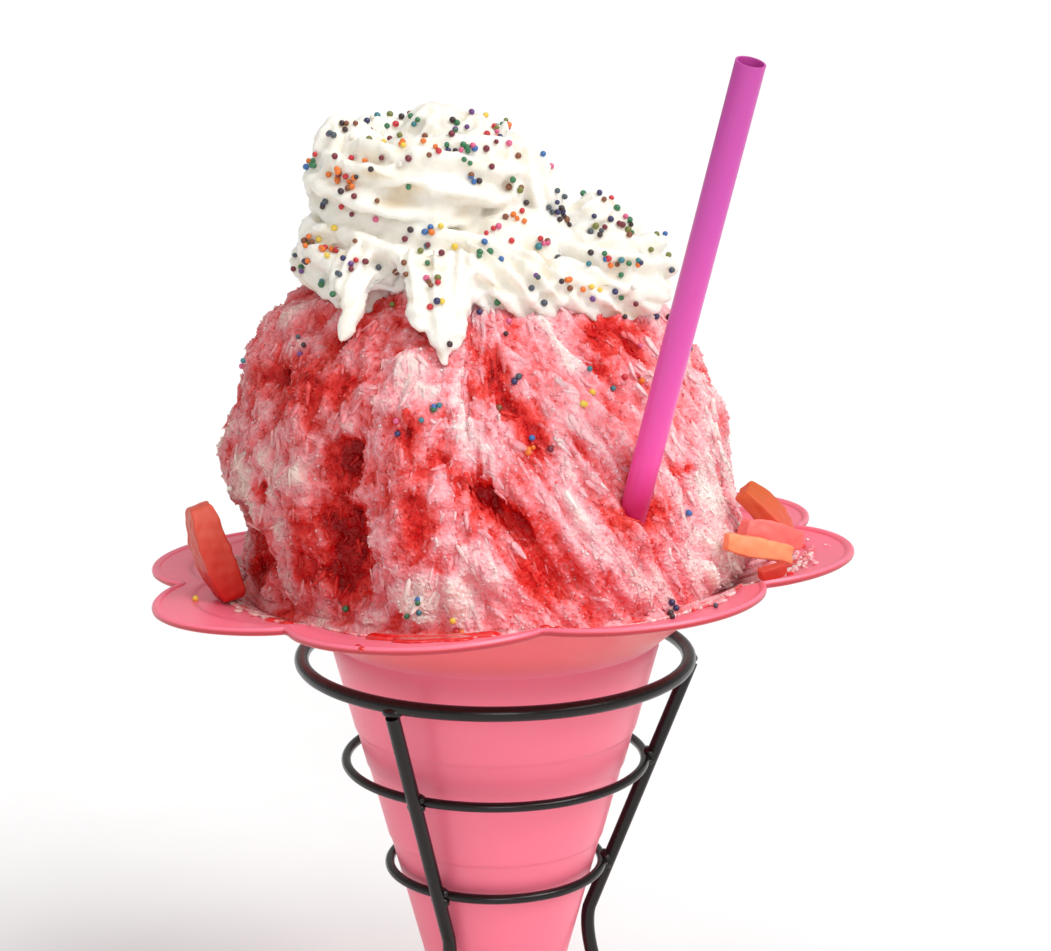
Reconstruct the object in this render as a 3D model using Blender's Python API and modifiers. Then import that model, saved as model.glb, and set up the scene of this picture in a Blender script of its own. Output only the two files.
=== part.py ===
"""Shaved ice dessert in a plastic flower cup that hangs in a holder of welded wire.

The heap of flavoured ice fills the cup and stands above its petalled rim. Piped
cream crowns it, a straw leans out of it and two fruit jellies stand at its edge.
Units are metres, +Z is up, and the table is the plane z = 0.
"""

import math

import bmesh
import bpy
from mathutils import Matrix, Vector, noise

MM = 0.001
GAP = 0.3 * MM

# ---- Holder: wire sizes, ring radii and the legs' slope ----
TOP_RING_Z = 105 * MM
TOP_RING_R = 40.3 * MM
TOP_WIRE_R = 1.5 * MM
MID_RING_Z = TOP_RING_Z - 22.2 * MM
MID_RING_R = 31.4 * MM
LOW_RING_Z = TOP_RING_Z - 45.2 * MM
LOW_RING_R = 22.5 * MM
SMALL_WIRE_R = 1.0 * MM
BASE_RING_R = 44.0 * MM
BASE_WIRE_R = 1.6 * MM
LEG_WIRE_R = 1.45 * MM
LEG_TOP_R = 41.7 * MM
LEG_SLOPE = 0.389
LEG_STRAIGHT_END = TOP_RING_Z - 56 * MM
LEG_AZIMUTHS = (-29.3, 90.7, 210.7)

# ---- Cup: a cone below the neck, a flare with eight petals above it ----
CUP_WALL = 0.8 * MM
CUP_BASE_Z = TOP_RING_Z - 78 * MM
CUP_BASE_R = 12.5 * MM
CUP_SLOPE = 0.2624
CUP_R_AT_RING = 33.0 * MM
NECK_Z = TOP_RING_Z + 5 * MM
NECK_R = 34.3 * MM
RIM_RISE = 15.5 * MM
PETALS = 8
PETAL_AZIMUTH = 30.4
PETAL_TIP_R = 72.9 * MM
PETAL_NOTCH_R = 63.5 * MM
RIM_TILT_X = 0.061
RIM_TILT_Y = -0.023
CUP_STEPS = 72

# ---- Ice: a dome with its widest part above the rim ----
ICE_BASE_Z = TOP_RING_Z + 19 * MM
ICE_WIDE_Z = TOP_RING_Z + 38 * MM
ICE_WIDE_R = 51.4 * MM
ICE_BASE_R = 49.5 * MM
ICE_HEIGHT = 47.5 * MM
ICE_LEAN = -4.2 * MM
ICE_STEPS = 48

# ---- Straw ----
STRAW_R = 2.7 * MM
STRAW_WALL = 0.4 * MM
STRAW_TOP = Vector((43.5, -70.0, 229.9)) * MM
STRAW_TIP = Vector((21.1, -35.0, 122.0)) * MM


def polar(radius, azimuth, z):
    """Point at an azimuth counted from the front (-Y) towards +X."""
    angle = math.radians(azimuth)
    return Vector((radius * math.sin(angle), -radius * math.cos(angle), z))


def azimuth_of(point):
    return math.degrees(math.atan2(point.x, -point.y))


def smooth_step(t):
    t = min(1.0, max(0.0, t))
    return t * t * (3 - 2 * t)


# ---- Empty scene and the two collections ----
for old in list(bpy.data.objects):
    bpy.data.objects.remove(old, do_unlink=True)

PARTS = bpy.data.collections.new("shaved_ice_dessert")
bpy.context.scene.collection.children.link(PARTS)
CUTTERS = bpy.data.collections.new("cutters")
bpy.context.scene.collection.children.link(CUTTERS)


def material(name, color, roughness, metallic=0.0):
    mat = bpy.data.materials.new(name)
    mat.use_nodes = True
    shader = mat.node_tree.nodes["Principled BSDF"]
    shader.inputs["Base Color"].default_value = (*color, 1.0)
    shader.inputs["Roughness"].default_value = roughness
    shader.inputs["Metallic"].default_value = metallic
    return mat


WIRE = material("black_wire", (0.012, 0.010, 0.010), 0.28)
PLASTIC = material("cup_plastic", (0.90, 0.20, 0.27), 0.35)
ICE = material("flavoured_ice", (0.85, 0.35, 0.36), 0.5)
CREAM = material("whipped_cream", (0.90, 0.86, 0.80), 0.45)
STRAW = material("straw_plastic", (0.66, 0.10, 0.42), 0.35)
JELLY = material("fruit_jelly", (0.75, 0.13, 0.06), 0.2)


def add_object(name, mesh, mat=None):
    """Link a mesh as a part, or as a cutter when it has no material."""
    obj = bpy.data.objects.new(name, mesh)
    if mat is None:
        CUTTERS.objects.link(obj)
        obj.hide_render = True
        obj.display_type = "WIRE"
    else:
        PARTS.objects.link(obj)
        mesh.materials.append(mat)
    return obj


def mesh_from(bm, name):
    bm.normal_update()
    bmesh.ops.recalc_face_normals(bm, faces=bm.faces)
    mesh = bpy.data.meshes.new(name)
    bm.to_mesh(mesh)
    bm.free()
    mesh.shade_smooth()
    mesh.set_sharp_from_angle(angle=math.radians(40))
    return mesh


def cut(obj, cutter):
    modifier = obj.modifiers.new("cut_" + cutter.name, "BOOLEAN")
    modifier.operation = "DIFFERENCE"
    modifier.solver = "EXACT"
    modifier.object = cutter


def curve_to_mesh(curve):
    """Replace a curve by its evaluated mesh with the caps welded."""
    bpy.context.view_layer.update()
    evaluated = curve.evaluated_get(bpy.context.evaluated_depsgraph_get())
    mesh = bpy.data.meshes.new_from_object(evaluated)
    bm = bmesh.new()
    bm.from_mesh(mesh)
    bmesh.ops.remove_doubles(bm, verts=bm.verts, dist=0.00001)
    bmesh.ops.transform(bm, matrix=curve.matrix_world, verts=bm.verts)
    bpy.data.objects.remove(curve, do_unlink=True)
    return bm


# ---- Holder rings: an eight-sided wire profile turned round +Z ----
def ring(name, radius, wire_radius, z, mat, steps=48):
    """The profile's flats face straight up and down, so that a ring can stand on one."""
    sides = 8
    corner = wire_radius / math.cos(math.pi / sides)
    bm = bmesh.new()
    verts = []
    for i in range(sides):
        angle = -2 * math.pi * (i + 0.5) / sides
        verts.append(bm.verts.new((radius + corner * math.cos(angle), 0, z + corner * math.sin(angle))))
    for i in range(sides):
        bm.edges.new((verts[i], verts[(i + 1) % sides]))
    mesh = bpy.data.meshes.new(name)
    bm.to_mesh(mesh)
    bm.free()
    obj = add_object(name, mesh, mat)
    screw = obj.modifiers.new("turn", "SCREW")
    screw.axis = "Z"
    screw.steps = steps
    screw.render_steps = steps
    screw.use_merge_vertices = True
    screw.merge_threshold = 0.00001
    screw.use_smooth_shade = True
    return obj


ring("ring_top", TOP_RING_R, TOP_WIRE_R, TOP_RING_Z, WIRE)
ring("ring_mid", MID_RING_R, SMALL_WIRE_R, MID_RING_Z, WIRE)
ring("ring_low", LOW_RING_R, SMALL_WIRE_R, LOW_RING_Z, WIRE)
ring("base_ring", BASE_RING_R, BASE_WIRE_R, BASE_WIRE_R, WIRE)

ring_cutters = [
    ring("clear_ring_top", TOP_RING_R, TOP_WIRE_R + GAP, TOP_RING_Z, None),
    ring("clear_ring_mid", MID_RING_R, SMALL_WIRE_R + GAP, MID_RING_Z, None),
    ring("clear_ring_low", LOW_RING_R, SMALL_WIRE_R + GAP, LOW_RING_Z, None),
    ring("clear_base_ring", BASE_RING_R, BASE_WIRE_R + GAP, BASE_WIRE_R, None),
]


# ---- Holder legs: straight down beside the cup, then bent outwards to the base ring ----
def leg_path(azimuth):
    """Points of one leg's centre line, top to bottom."""
    points = []
    top_z = TOP_RING_Z - 2.0 * MM
    for z in (top_z, LEG_STRAIGHT_END + 14 * MM):
        points.append(polar(LEG_TOP_R + LEG_SLOPE * (z - TOP_RING_Z), azimuth, z))
    start_r = LEG_TOP_R + LEG_SLOPE * (LEG_STRAIGHT_END - TOP_RING_Z)
    p0 = Vector((start_r, LEG_STRAIGHT_END))
    p1 = p0 - 8 * MM * Vector((CUP_SLOPE, 1.0)).normalized()
    p3 = Vector((BASE_RING_R - 0.3 * MM, BASE_WIRE_R + 0.8 * MM))
    p2 = p3 + Vector((-19.0, 15.0)) * MM
    for i in range(13):
        t = i / 12
        p = (1 - t) ** 3 * p0 + 3 * t * (1 - t) ** 2 * p1 + 3 * t * t * (1 - t) * p2 + t**3 * p3
        points.append(polar(p.x, azimuth, p.y))
    return points


for number, leg_azimuth in enumerate(LEG_AZIMUTHS, start=1):
    curve = bpy.data.curves.new(f"leg_{number}_line", "CURVE")
    curve.dimensions = "3D"
    curve.bevel_depth = LEG_WIRE_R
    curve.bevel_resolution = 2
    curve.use_fill_caps = True
    spline = curve.splines.new("POLY")
    path = leg_path(leg_azimuth)
    spline.points.add(len(path) - 1)
    for spline_point, place in zip(spline.points, path):
        spline_point.co = (*place, 1.0)
    line = bpy.data.objects.new(f"leg_{number}_line", curve)
    PARTS.objects.link(line)
    leg = add_object(f"leg_{number}", mesh_from(curve_to_mesh(line), f"leg_{number}"), WIRE)
    for cutter in ring_cutters:
        cut(leg, cutter)


# ---- Cup: a turned wall whose flare is then drawn out into petals ----
def petal_reach(azimuth):
    """Radius of the rim: broad round petals with narrower dips between them."""
    wave = abs(math.cos(math.radians((azimuth - PETAL_AZIMUTH) * PETALS / 2)))
    return PETAL_NOTCH_R + (PETAL_TIP_R - PETAL_NOTCH_R) * wave**0.75


def flare_height(s):
    """Rise of the flare's underside above the neck, s running from 0 at the neck to 1 at the rim."""
    return RIM_RISE * (1 - (1 - s) ** 1.8)


def flare_point(s, offset, mean_r):
    """Profile point on the flare, offset along its upward normal."""
    r = NECK_R + (mean_r - NECK_R) * s
    z = NECK_Z + flare_height(s)
    slope = RIM_RISE * 1.8 * (1 - s) ** 0.8 / (mean_r - NECK_R)
    length = math.hypot(1, slope)
    return (r - offset * slope / length, z + offset / length)


def wall_r(z):
    return CUP_R_AT_RING + CUP_SLOPE * (z - TOP_RING_Z)


def cup_profile():
    """Closed section of the wall from the outer base centre round the lip to the inner floor."""
    mean_r = 0.5 * (PETAL_TIP_R + PETAL_NOTCH_R)
    steps = [0.06, 0.15, 0.28, 0.42, 0.56, 0.70, 0.84, 0.95]
    points = [(0, CUP_BASE_Z), (CUP_BASE_R - 0.8 * MM, CUP_BASE_Z), (CUP_BASE_R, CUP_BASE_Z + 0.8 * MM)]
    for drop in (52, 26):
        z = TOP_RING_Z - drop * MM
        points.append((wall_r(z), z))
    points.append((NECK_R, NECK_Z))
    points += [flare_point(s, 0, mean_r) for s in steps]
    rim_r, rim_z = flare_point(1.0, 0, mean_r)
    points.append((rim_r, rim_z - 0.2 * MM))
    points.append((rim_r + 0.7 * MM, rim_z + 0.5 * MM))
    points.append((rim_r, rim_z + 1.3 * MM))
    points += [flare_point(s, CUP_WALL, mean_r) for s in reversed(steps)]
    points.append((NECK_R - CUP_WALL, NECK_Z + 0.3 * MM))
    for drop in (20, 50):
        z = TOP_RING_Z - drop * MM
        points.append((wall_r(z) - CUP_WALL, z))
    floor_z = CUP_BASE_Z + 1.2 * MM
    points.append((wall_r(floor_z) - CUP_WALL, floor_z + 0.4 * MM))
    points.append((0, floor_z))
    return points


def turned(points, steps):
    """Spin a section that starts and ends on the axis into a closed body."""
    bm = bmesh.new()
    verts = [bm.verts.new((r, 0, z)) for r, z in points]
    edges = [bm.edges.new(pair) for pair in zip(verts, verts[1:])]
    bmesh.ops.spin(
        bm,
        geom=verts + edges,
        cent=(0, 0, 0),
        axis=(0, 0, 1),
        angle=2 * math.pi,
        steps=steps,
        use_merge=True,
    )
    bmesh.ops.remove_doubles(bm, verts=bm.verts, dist=0.00002)
    return bm


def draw_petals(bm):
    """Stretch the flare to the scalloped rim and tilt it with the cup's seat."""
    mean_r = 0.5 * (PETAL_TIP_R + PETAL_NOTCH_R)
    for vert in bm.verts:
        radius = math.hypot(vert.co.x, vert.co.y)
        share = (radius - NECK_R) / (mean_r - NECK_R)
        if vert.co.z < NECK_Z or share <= 0:
            continue
        azimuth = azimuth_of(vert.co)
        reach = petal_reach(azimuth)
        outer = smooth_step((share - 0.25) / 0.75)
        place = polar(radius + (reach - mean_r) * share * outer, azimuth, vert.co.z)
        place.z += (RIM_TILT_X * place.x + RIM_TILT_Y * place.y) * min(1.0, share)
        vert.co = place


cup_body = turned(cup_profile(), CUP_STEPS)
draw_petals(cup_body)
cup = add_object("cup", mesh_from(cup_body, "cup"), PLASTIC)

# ---- Ice: it fills the cup, rests on the flare and swells into a rough dome ----
HOLLOWS = (
    (-62, 62, 10, 3.2),
    (-42, 72, 8, 3.0),
    (-46, 36, 11, 3.4),
    (-38, 26, 9, 3.0),
    (-62, 30, 9, 2.6),
    (-34, 50, 8, 2.6),
    (1, 44, 7, 2.8),
    (9, 30, 8, 2.4),
    (100, 50, 10, 2.6),
    (150, 38, 11, 3.0),
    (-160, 56, 10, 2.8),
    (-110, 40, 11, 3.0),
)


def ice_radius(z):
    """Mean radius of the dome at a height, straight and slightly drawn in below its widest part."""
    if z <= ICE_WIDE_Z:
        share = (z - ICE_BASE_Z) / (ICE_WIDE_Z - ICE_BASE_Z)
        return ICE_BASE_R + (ICE_WIDE_R - ICE_BASE_R) * smooth_step(share)
    share = (z - ICE_WIDE_Z) / ICE_HEIGHT
    return ICE_WIDE_R * max(0.0, 1 - share**2.2) ** (1 / 2.2)


def ice_profile(extra):
    """Section of the filling and the dome; extra grows it everywhere for use as a clearance body."""
    clear = CUP_WALL + GAP + 0.15 * MM
    mean_r = 0.5 * (PETAL_TIP_R + PETAL_NOTCH_R)
    floor_z = CUP_BASE_Z + 1.2 * MM + GAP
    points = [(0, floor_z), (wall_r(floor_z) - clear - 0.3 * MM, floor_z + 0.5 * MM)]
    for drop in (50, 20):
        z = TOP_RING_Z - drop * MM
        points.append((wall_r(z) - clear, z))
    points.append((NECK_R - clear, NECK_Z + 0.6 * MM))
    points += [flare_point(s, clear + 0.15 * MM, mean_r) for s in (0.06, 0.15, 0.28, 0.40)]
    for rise in (0, 4, 9, 14, 19, 24, 29, 34, 39, 44, 48.5, 52.5, 56, 59, 61.5, 63.5, 65.2):
        z = ICE_BASE_Z + rise * MM
        points.append((ice_radius(z) + extra, z + extra * smooth_step((rise - 40) / 20)))
    points.append((0, ICE_WIDE_Z + ICE_HEIGHT + extra - 0.6 * MM))
    return points


def roughen(bm):
    """Lumps and hollows on the dome, and the lean of the heap to one side."""
    mean_r = 0.5 * (PETAL_TIP_R + PETAL_NOTCH_R)
    for vert in bm.verts:
        rise = (vert.co.z - ICE_BASE_Z) / MM
        radius = math.hypot(vert.co.x, vert.co.y)
        share = max(0.0, (radius - NECK_R) / (mean_r - NECK_R))
        if vert.co.z > NECK_Z:
            tilt = RIM_TILT_X * vert.co.x + RIM_TILT_Y * vert.co.y
            vert.co.z += tilt * share * (1 - smooth_step(rise / 20))
        if rise < -0.2:
            continue
        azimuth = azimuth_of(vert.co)
        fade = smooth_step(rise / 6)
        lump = 2.0 * MM * noise.noise(vert.co / (13 * MM)) + 1.0 * MM * noise.noise(vert.co / (6 * MM))
        for hollow_azimuth, height, width, depth in HOLLOWS:
            turn = (azimuth - hollow_azimuth + 180) % 360 - 180
            across = math.radians(turn) * 48
            along = (vert.co.z - TOP_RING_Z) / MM - height
            away = math.hypot(across, along * 0.75)
            lump -= depth * MM * math.exp(-((away / width) ** 2) * 2.2)
        grown = radius + lump * fade * min(1.0, radius / (20 * MM))
        place = polar(max(grown, 0.0), azimuth, vert.co.z)
        place.x += ICE_LEAN * smooth_step(rise / 20)
        vert.co = place


ice_body = turned(ice_profile(0.0), ICE_STEPS)
roughen(ice_body)
ice = add_object("shaved_ice", mesh_from(ice_body, "shaved_ice"), ICE)

clear_body = turned(ice_profile(0.45 * MM), ICE_STEPS)
roughen(clear_body)
ice_clearance = add_object("clear_ice", mesh_from(clear_body, "clear_ice"))


# ---- Straw: an open tube pushed into the front of the dome, ending above the flare ----
def along_straw(name, radius, start, end, mat, caps):
    """Cylinder between two points of the straw's line."""
    axis = end - start
    bm = bmesh.new()
    bmesh.ops.create_cone(
        bm, cap_ends=caps, segments=20, radius1=radius, radius2=radius, depth=axis.length
    )
    turn = Vector((0, 0, 1)).rotation_difference(axis).to_matrix().to_4x4()
    bmesh.ops.transform(bm, matrix=Matrix.Translation((start + end) / 2) @ turn, verts=bm.verts)
    return add_object(name, mesh_from(bm, name), mat)


straw = along_straw("straw", STRAW_R, STRAW_TIP, STRAW_TOP, STRAW, False)
shell = straw.modifiers.new("wall", "SOLIDIFY")
shell.thickness = STRAW_WALL
shell.offset = -1

down = (STRAW_TIP - STRAW_TOP).normalized()
bore = along_straw(
    "clear_straw", STRAW_R + 1.2 * GAP, STRAW_TIP + 0.5 * MM * down, STRAW_TOP, None, True
)
cut(ice, bore)

# ---- Whipped cream: ridged ropes piped in turns over a soft core ----
NOZZLE_RIDGES = 7
LEFT_MOUND = Vector((-14.5, -2.0, 0.0)) * MM
RIGHT_MOUND = Vector((19.0, -8.0, 0.0)) * MM


def star_profile():
    """Cross-section left by a star nozzle, of unit radius."""
    curve = bpy.data.curves.new("nozzle", "CURVE")
    curve.dimensions = "2D"
    spline = curve.splines.new("POLY")
    count = NOZZLE_RIDGES * 4
    spline.points.add(count - 1)
    for i in range(count):
        angle = 2 * math.pi * i / count
        reach = 1 + 0.16 * math.cos(NOZZLE_RIDGES * angle)
        spline.points[i].co = (reach * math.cos(angle), reach * math.sin(angle), 0, 1)
    spline.use_cyclic_u = True
    obj = bpy.data.objects.new("nozzle", curve)
    CUTTERS.objects.link(obj)
    obj.hide_render = True
    obj.display_type = "WIRE"
    return obj


nozzle = star_profile()


def rope(points, radii, twist):
    """A ridged rope along a path, its radius given at every point."""
    curve = bpy.data.curves.new("rope", "CURVE")
    curve.dimensions = "3D"
    curve.bevel_mode = "OBJECT"
    curve.bevel_object = nozzle
    curve.use_fill_caps = True
    spline = curve.splines.new("POLY")
    spline.points.add(len(points) - 1)
    for i, (place, radius) in enumerate(zip(points, radii)):
        spline.points[i].co = (*place, 1.0)
        spline.points[i].radius = radius
        spline.points[i].tilt = twist * i / len(points)
    obj = bpy.data.objects.new("rope", curve)
    CUTTERS.objects.link(obj)
    return curve_to_mesh(obj)


def coil(centre, reach_x, reach_y, z_start, z_end, radius, start, turns, shrink):
    """Path and radii of a piped turn that climbs and draws in."""
    count = int(28 * turns)
    points = []
    radii = []
    for i in range(count + 1):
        t = i / count
        angle = math.radians(start) + 2 * math.pi * turns * t
        draw = 1 - shrink * t
        points.append(
            Vector(
                (
                    centre.x + reach_x * draw * math.sin(angle),
                    centre.y - reach_y * draw * math.cos(angle),
                    TOP_RING_Z + z_start + (z_end - z_start) * t,
                )
            )
        )
        ends = min(1.0, 0.55 + 3.0 * min(t, 1 - t))
        radii.append(radius * ends * (1 - 0.25 * shrink * t))
    return points, radii


def straight(start, end, first_radius, last_radius, count=7):
    """Path and radii of a drip or a peak that runs straight and tapers."""
    points = [start.lerp(end, i / count) for i in range(count + 1)]
    radii = [first_radius + (last_radius - first_radius) * i / count for i in range(count + 1)]
    return points, radii


def above_ring(x, y, z):
    return Vector((x, y, z + TOP_RING_Z / MM)) * MM


def merge(target, extra):
    """Copy one body's faces into another."""
    copies = {vert: target.verts.new(vert.co) for vert in extra.verts}
    for face in extra.faces:
        target.faces.new([copies[vert] for vert in face.verts])
    extra.free()


PIPED = (
    (coil(LEFT_MOUND, 18.5 * MM, 19 * MM, 86 * MM, 80 * MM, 9.5 * MM, 200, 1.15, 0.1), 3.0),
    (coil(LEFT_MOUND, 17 * MM, 15.5 * MM, 96 * MM, 102 * MM, 8.8 * MM, 250, 1.2, 0.35), 3.0),
    (coil(RIGHT_MOUND, 10.5 * MM, 11 * MM, 78 * MM, 83 * MM, 8.4 * MM, 120, 1.3, 0.3), 3.0),
    (straight(above_ring(-27, -6, 99), above_ring(-33.5, -5, 106), 7.2 * MM, 4.8 * MM), 0.4),
    (straight(above_ring(-11, -1, 102), above_ring(-9.5, 0, 113.5), 8.0 * MM, 3.6 * MM), 0.8),
    (straight(above_ring(17, -7, 83), above_ring(21, -6, 93.5), 8.0 * MM, 3.0 * MM), 0.8),
    (straight(above_ring(-3, -6, 101), above_ring(14, -9, 91), 9.0 * MM, 6.0 * MM), 1.2),
    (straight(above_ring(-4, -27, 82), above_ring(15, -24, 79), 7.0 * MM, 6.5 * MM), 0.6),
    (straight(above_ring(-28, -24, 84), above_ring(-29, -35, 73), 5.0 * MM, 2.4 * MM), 0.3),
    (straight(above_ring(-14.5, -30, 85), above_ring(-11.6, -40, 71), 4.0 * MM, 2.4 * MM), 0.2),
    (straight(above_ring(-9.0, -30, 85), above_ring(-8.0, -41, 70), 4.0 * MM, 2.4 * MM), 0.2),
)
CORES = (
    (above_ring(-14.5, -2, 88), (20, 19, 14)),
    (above_ring(-13, -1, 101), (14, 13, 8)),
    (above_ring(19, -8, 80), (13, 14, 10)),
    (above_ring(3, -7, 84), (14, 19, 12)),
)

cream_body = bmesh.new()
for (points, radii), twist in PIPED:
    merge(cream_body, rope(points, radii, twist))
for centre, half_sizes in CORES:
    core = bmesh.new()
    size = Matrix.Diagonal((*[half * MM for half in half_sizes], 1.0))
    bmesh.ops.create_icosphere(core, subdivisions=3, radius=1.0, matrix=Matrix.Translation(centre) @ size)
    merge(cream_body, core)

cream = add_object("whipped_cream", mesh_from(cream_body, "whipped_cream"), CREAM)
knit = cream.modifiers.new("knit", "REMESH")
knit.mode = "VOXEL"
knit.voxel_size = 1.3 * MM
soften = cream.modifiers.new("soften", "SMOOTH")
soften.factor = 0.5
soften.iterations = 2
thin = cream.modifiers.new("thin", "DECIMATE")
thin.ratio = 0.11
cut(cream, ice_clearance)


# ---- Fruit jellies: soft-edged slabs leaning outwards on the flare ----
def jelly(name, foot, tip, width, thickness, bow, mat):
    """A rounded strip from foot to tip, its broad side facing the heap, bowed outwards."""
    length = (tip - foot).length
    up = (tip - foot).normalized()
    outward = Vector((foot.x, foot.y, 0)).normalized()
    side = up.cross(outward).normalized()
    outward = side.cross(up).normalized()
    bm = bmesh.new()
    bmesh.ops.create_cube(bm, size=1.0)
    long_edges = [e for e in bm.edges if abs(e.verts[0].co.z - e.verts[1].co.z) > 0.5]
    bmesh.ops.subdivide_edges(bm, edges=long_edges, cuts=4, use_grid_fill=True)
    for vert in bm.verts:
        along = vert.co.z + 0.5
        swell = 0.72 + 0.36 * math.sin(math.pi * min(1.0, along * 0.9 + 0.08))
        place = foot + up * length * along
        place += side * width * vert.co.x * swell
        place += outward * (thickness * vert.co.y * swell + bow * math.sin(math.pi * along))
        vert.co = place
    obj = add_object(name, mesh_from(bm, name), mat)
    round_off = obj.modifiers.new("round_off", "SUBSURF")
    round_off.levels = 2
    round_off.render_levels = 2
    return obj


jelly(
    "jelly_left",
    above_ring(-52.2, -21.0, 18.6),
    above_ring(-58.2, -20.5, 38.2),
    9.0 * MM,
    6.2 * MM,
    0.8 * MM,
    JELLY,
)
jelly(
    "jelly_right",
    above_ring(60.2, -18.0, 27.2),
    above_ring(49.6, -17.5, 39.0),
    9.0 * MM,
    6.2 * MM,
    1.0 * MM,
    JELLY,
)
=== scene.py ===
import math

import bpy
import numpy as np
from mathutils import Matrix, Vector, noise
from mathutils.bvhtree import BVHTree


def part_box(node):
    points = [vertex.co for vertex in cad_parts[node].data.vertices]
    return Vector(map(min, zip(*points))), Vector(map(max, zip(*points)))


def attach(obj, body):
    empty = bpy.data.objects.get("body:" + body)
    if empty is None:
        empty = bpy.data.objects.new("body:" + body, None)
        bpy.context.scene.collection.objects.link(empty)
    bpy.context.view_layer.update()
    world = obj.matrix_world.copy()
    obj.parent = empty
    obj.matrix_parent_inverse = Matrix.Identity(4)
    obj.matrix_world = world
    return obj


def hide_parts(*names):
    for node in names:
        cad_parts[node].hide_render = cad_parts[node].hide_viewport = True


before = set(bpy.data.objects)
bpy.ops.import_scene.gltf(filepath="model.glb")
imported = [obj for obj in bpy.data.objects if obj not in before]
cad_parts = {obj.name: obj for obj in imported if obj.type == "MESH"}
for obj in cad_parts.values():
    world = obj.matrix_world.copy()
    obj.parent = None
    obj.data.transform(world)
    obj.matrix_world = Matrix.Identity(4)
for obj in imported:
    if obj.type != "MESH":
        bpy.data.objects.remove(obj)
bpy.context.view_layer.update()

# ---- Holder rings ----
# Four rings of steel wire, each bent round and butt-welded, then dipped in gloss black.
# The widest one stands on the table and the other three carry the cup.
MM = 0.001


class Shade:
    """One value of a material's node tree. A sum on it adds the Math nodes that work it out."""

    def __init__(self, tree, socket):
        self.tree = tree
        self.socket = socket

    def node(self, kind, settings, inputs, output=0):
        """Add a node, set it up, give its sockets their values or links, and return one output."""
        node = self.tree.nodes.new(kind)
        for name, value in settings.items():
            if name == "stops":
                elements = node.color_ramp.elements
                while len(elements) < len(value):
                    elements.new(0.5)
                for element, (position, color) in zip(elements, value):
                    element.position = position
                    element.color = (*color, 1.0)
            else:
                setattr(node, name, value)
        for name, value in inputs.items():
            if isinstance(value, Shade):
                self.tree.links.new(value.socket, node.inputs[name])
            else:
                node.inputs[name].default_value = value
        return Shade(self.tree, node.outputs[output])

    def math(self, operation, first, second):
        return self.node("ShaderNodeMath", {"operation": operation}, {0: first, 1: second})

    def __add__(self, other):
        return self.math("ADD", self, other)

    __radd__ = __add__

    def __sub__(self, other):
        return self.math("SUBTRACT", self, other)

    def __rsub__(self, other):
        return self.math("SUBTRACT", other, self)

    def __mul__(self, other):
        return self.math("MULTIPLY", self, other)

    __rmul__ = __mul__


def paint(red, green, blue):
    """Scene-linear colour of a colour given as it is seen, each part from 0 to 255."""
    parts = [part / 255 for part in (red, green, blue)]
    return tuple(p / 12.92 if p < 0.04045 else ((p + 0.055) / 1.055) ** 2.4 for p in parts)


def start_material(name, constants):
    """A material with its even values set, and the surface's own place to vary the rest by."""
    material = bpy.data.materials.new(name)
    material.use_nodes = True
    tree = material.node_tree
    shader = next(node for node in tree.nodes if node.type == "BSDF_PRINCIPLED")
    for socket, value in constants.items():
        shader.inputs[socket].default_value = value
    place = Shade(tree, tree.nodes.new("ShaderNodeTexCoord").outputs["Object"])
    return material, shader, place


def feed(shader, **values):
    """Link values to the shader's sockets; an underscore stands for a space."""
    for name, value in values.items():
        value.tree.links.new(value.socket, shader.inputs[name.replace("_", " ")])


def cloud(place, per_metre, detail=3.0):
    """Soft noise with this many lumps to a metre."""
    return place.node(
        "ShaderNodeTexNoise", {}, {"Vector": place, "Scale": per_metre, "Detail": detail}
    )


def mixed(factor, first, second, blend="MIX"):
    """One colour fading into another; each is a link or three numbers."""
    colors = [color if isinstance(color, Shade) else (*color, 1.0) for color in (first, second)]
    settings = {"data_type": "RGBA", "blend_type": blend}
    return factor.node("ShaderNodeMix", settings, {0: factor, 6: colors[0], 7: colors[1]}, 2)


def bumped(height, distance, strength):
    """The surface's direction on a relief this deep."""
    return height.node(
        "ShaderNodeBump", {}, {"Height": height, "Distance": distance, "Strength": strength}
    )


def black_coating():
    """Thick dipped coating: glossy, a little uneven, with dust-dull patches."""
    material, shader, place = start_material("black_coating", {"Specular IOR Level": 0.38})
    dull = cloud(place, 90, 4.0)
    pits = cloud(place, 900, 2.0)
    feed(
        shader,
        Base_Color=mixed(dull, paint(10, 4, 4), paint(18, 10, 9)),
        Roughness=0.17 + 0.16 * dull,
        Normal=bumped(pits + dull * 2.0, 0.10 * MM, 0.4),
    )
    return material


def only(obj):
    """Make this the one selected and active object."""
    bpy.ops.object.select_all(action="DESELECT")
    obj.select_set(True)
    bpy.context.view_layer.objects.active = obj
    return obj


def fixed(obj):
    """Put a piece's place, turn and size into its mesh."""
    only(obj)
    bpy.ops.object.transform_apply(location=True, rotation=True, scale=True)
    return obj


def settle(obj, name, material):
    """Name a piece, give it its material, and put its place into its mesh."""
    fixed(obj)
    obj.name = name
    obj.data.name = name
    obj.data.materials.clear()
    obj.data.materials.append(material)
    return obj


def pick(obj, wanted):
    """Open a piece for editing with just the wanted vertices selected."""
    only(obj)
    bpy.ops.object.mode_set(mode="EDIT")
    bpy.ops.mesh.select_mode(type="VERT")
    bpy.ops.mesh.select_all(action="DESELECT")
    bpy.ops.object.mode_set(mode="OBJECT")
    for vert in obj.data.vertices:
        vert.select = wanted(vert.co)
    bpy.ops.object.mode_set(mode="EDIT")


def close_edit():
    """Merge doubles, turn the faces outwards and leave edit mode."""
    bpy.ops.mesh.select_all(action="SELECT")
    bpy.ops.mesh.remove_doubles(threshold=0.01 * MM)
    bpy.ops.mesh.normals_make_consistent(inside=False)
    bpy.ops.object.mode_set(mode="OBJECT")


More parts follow.
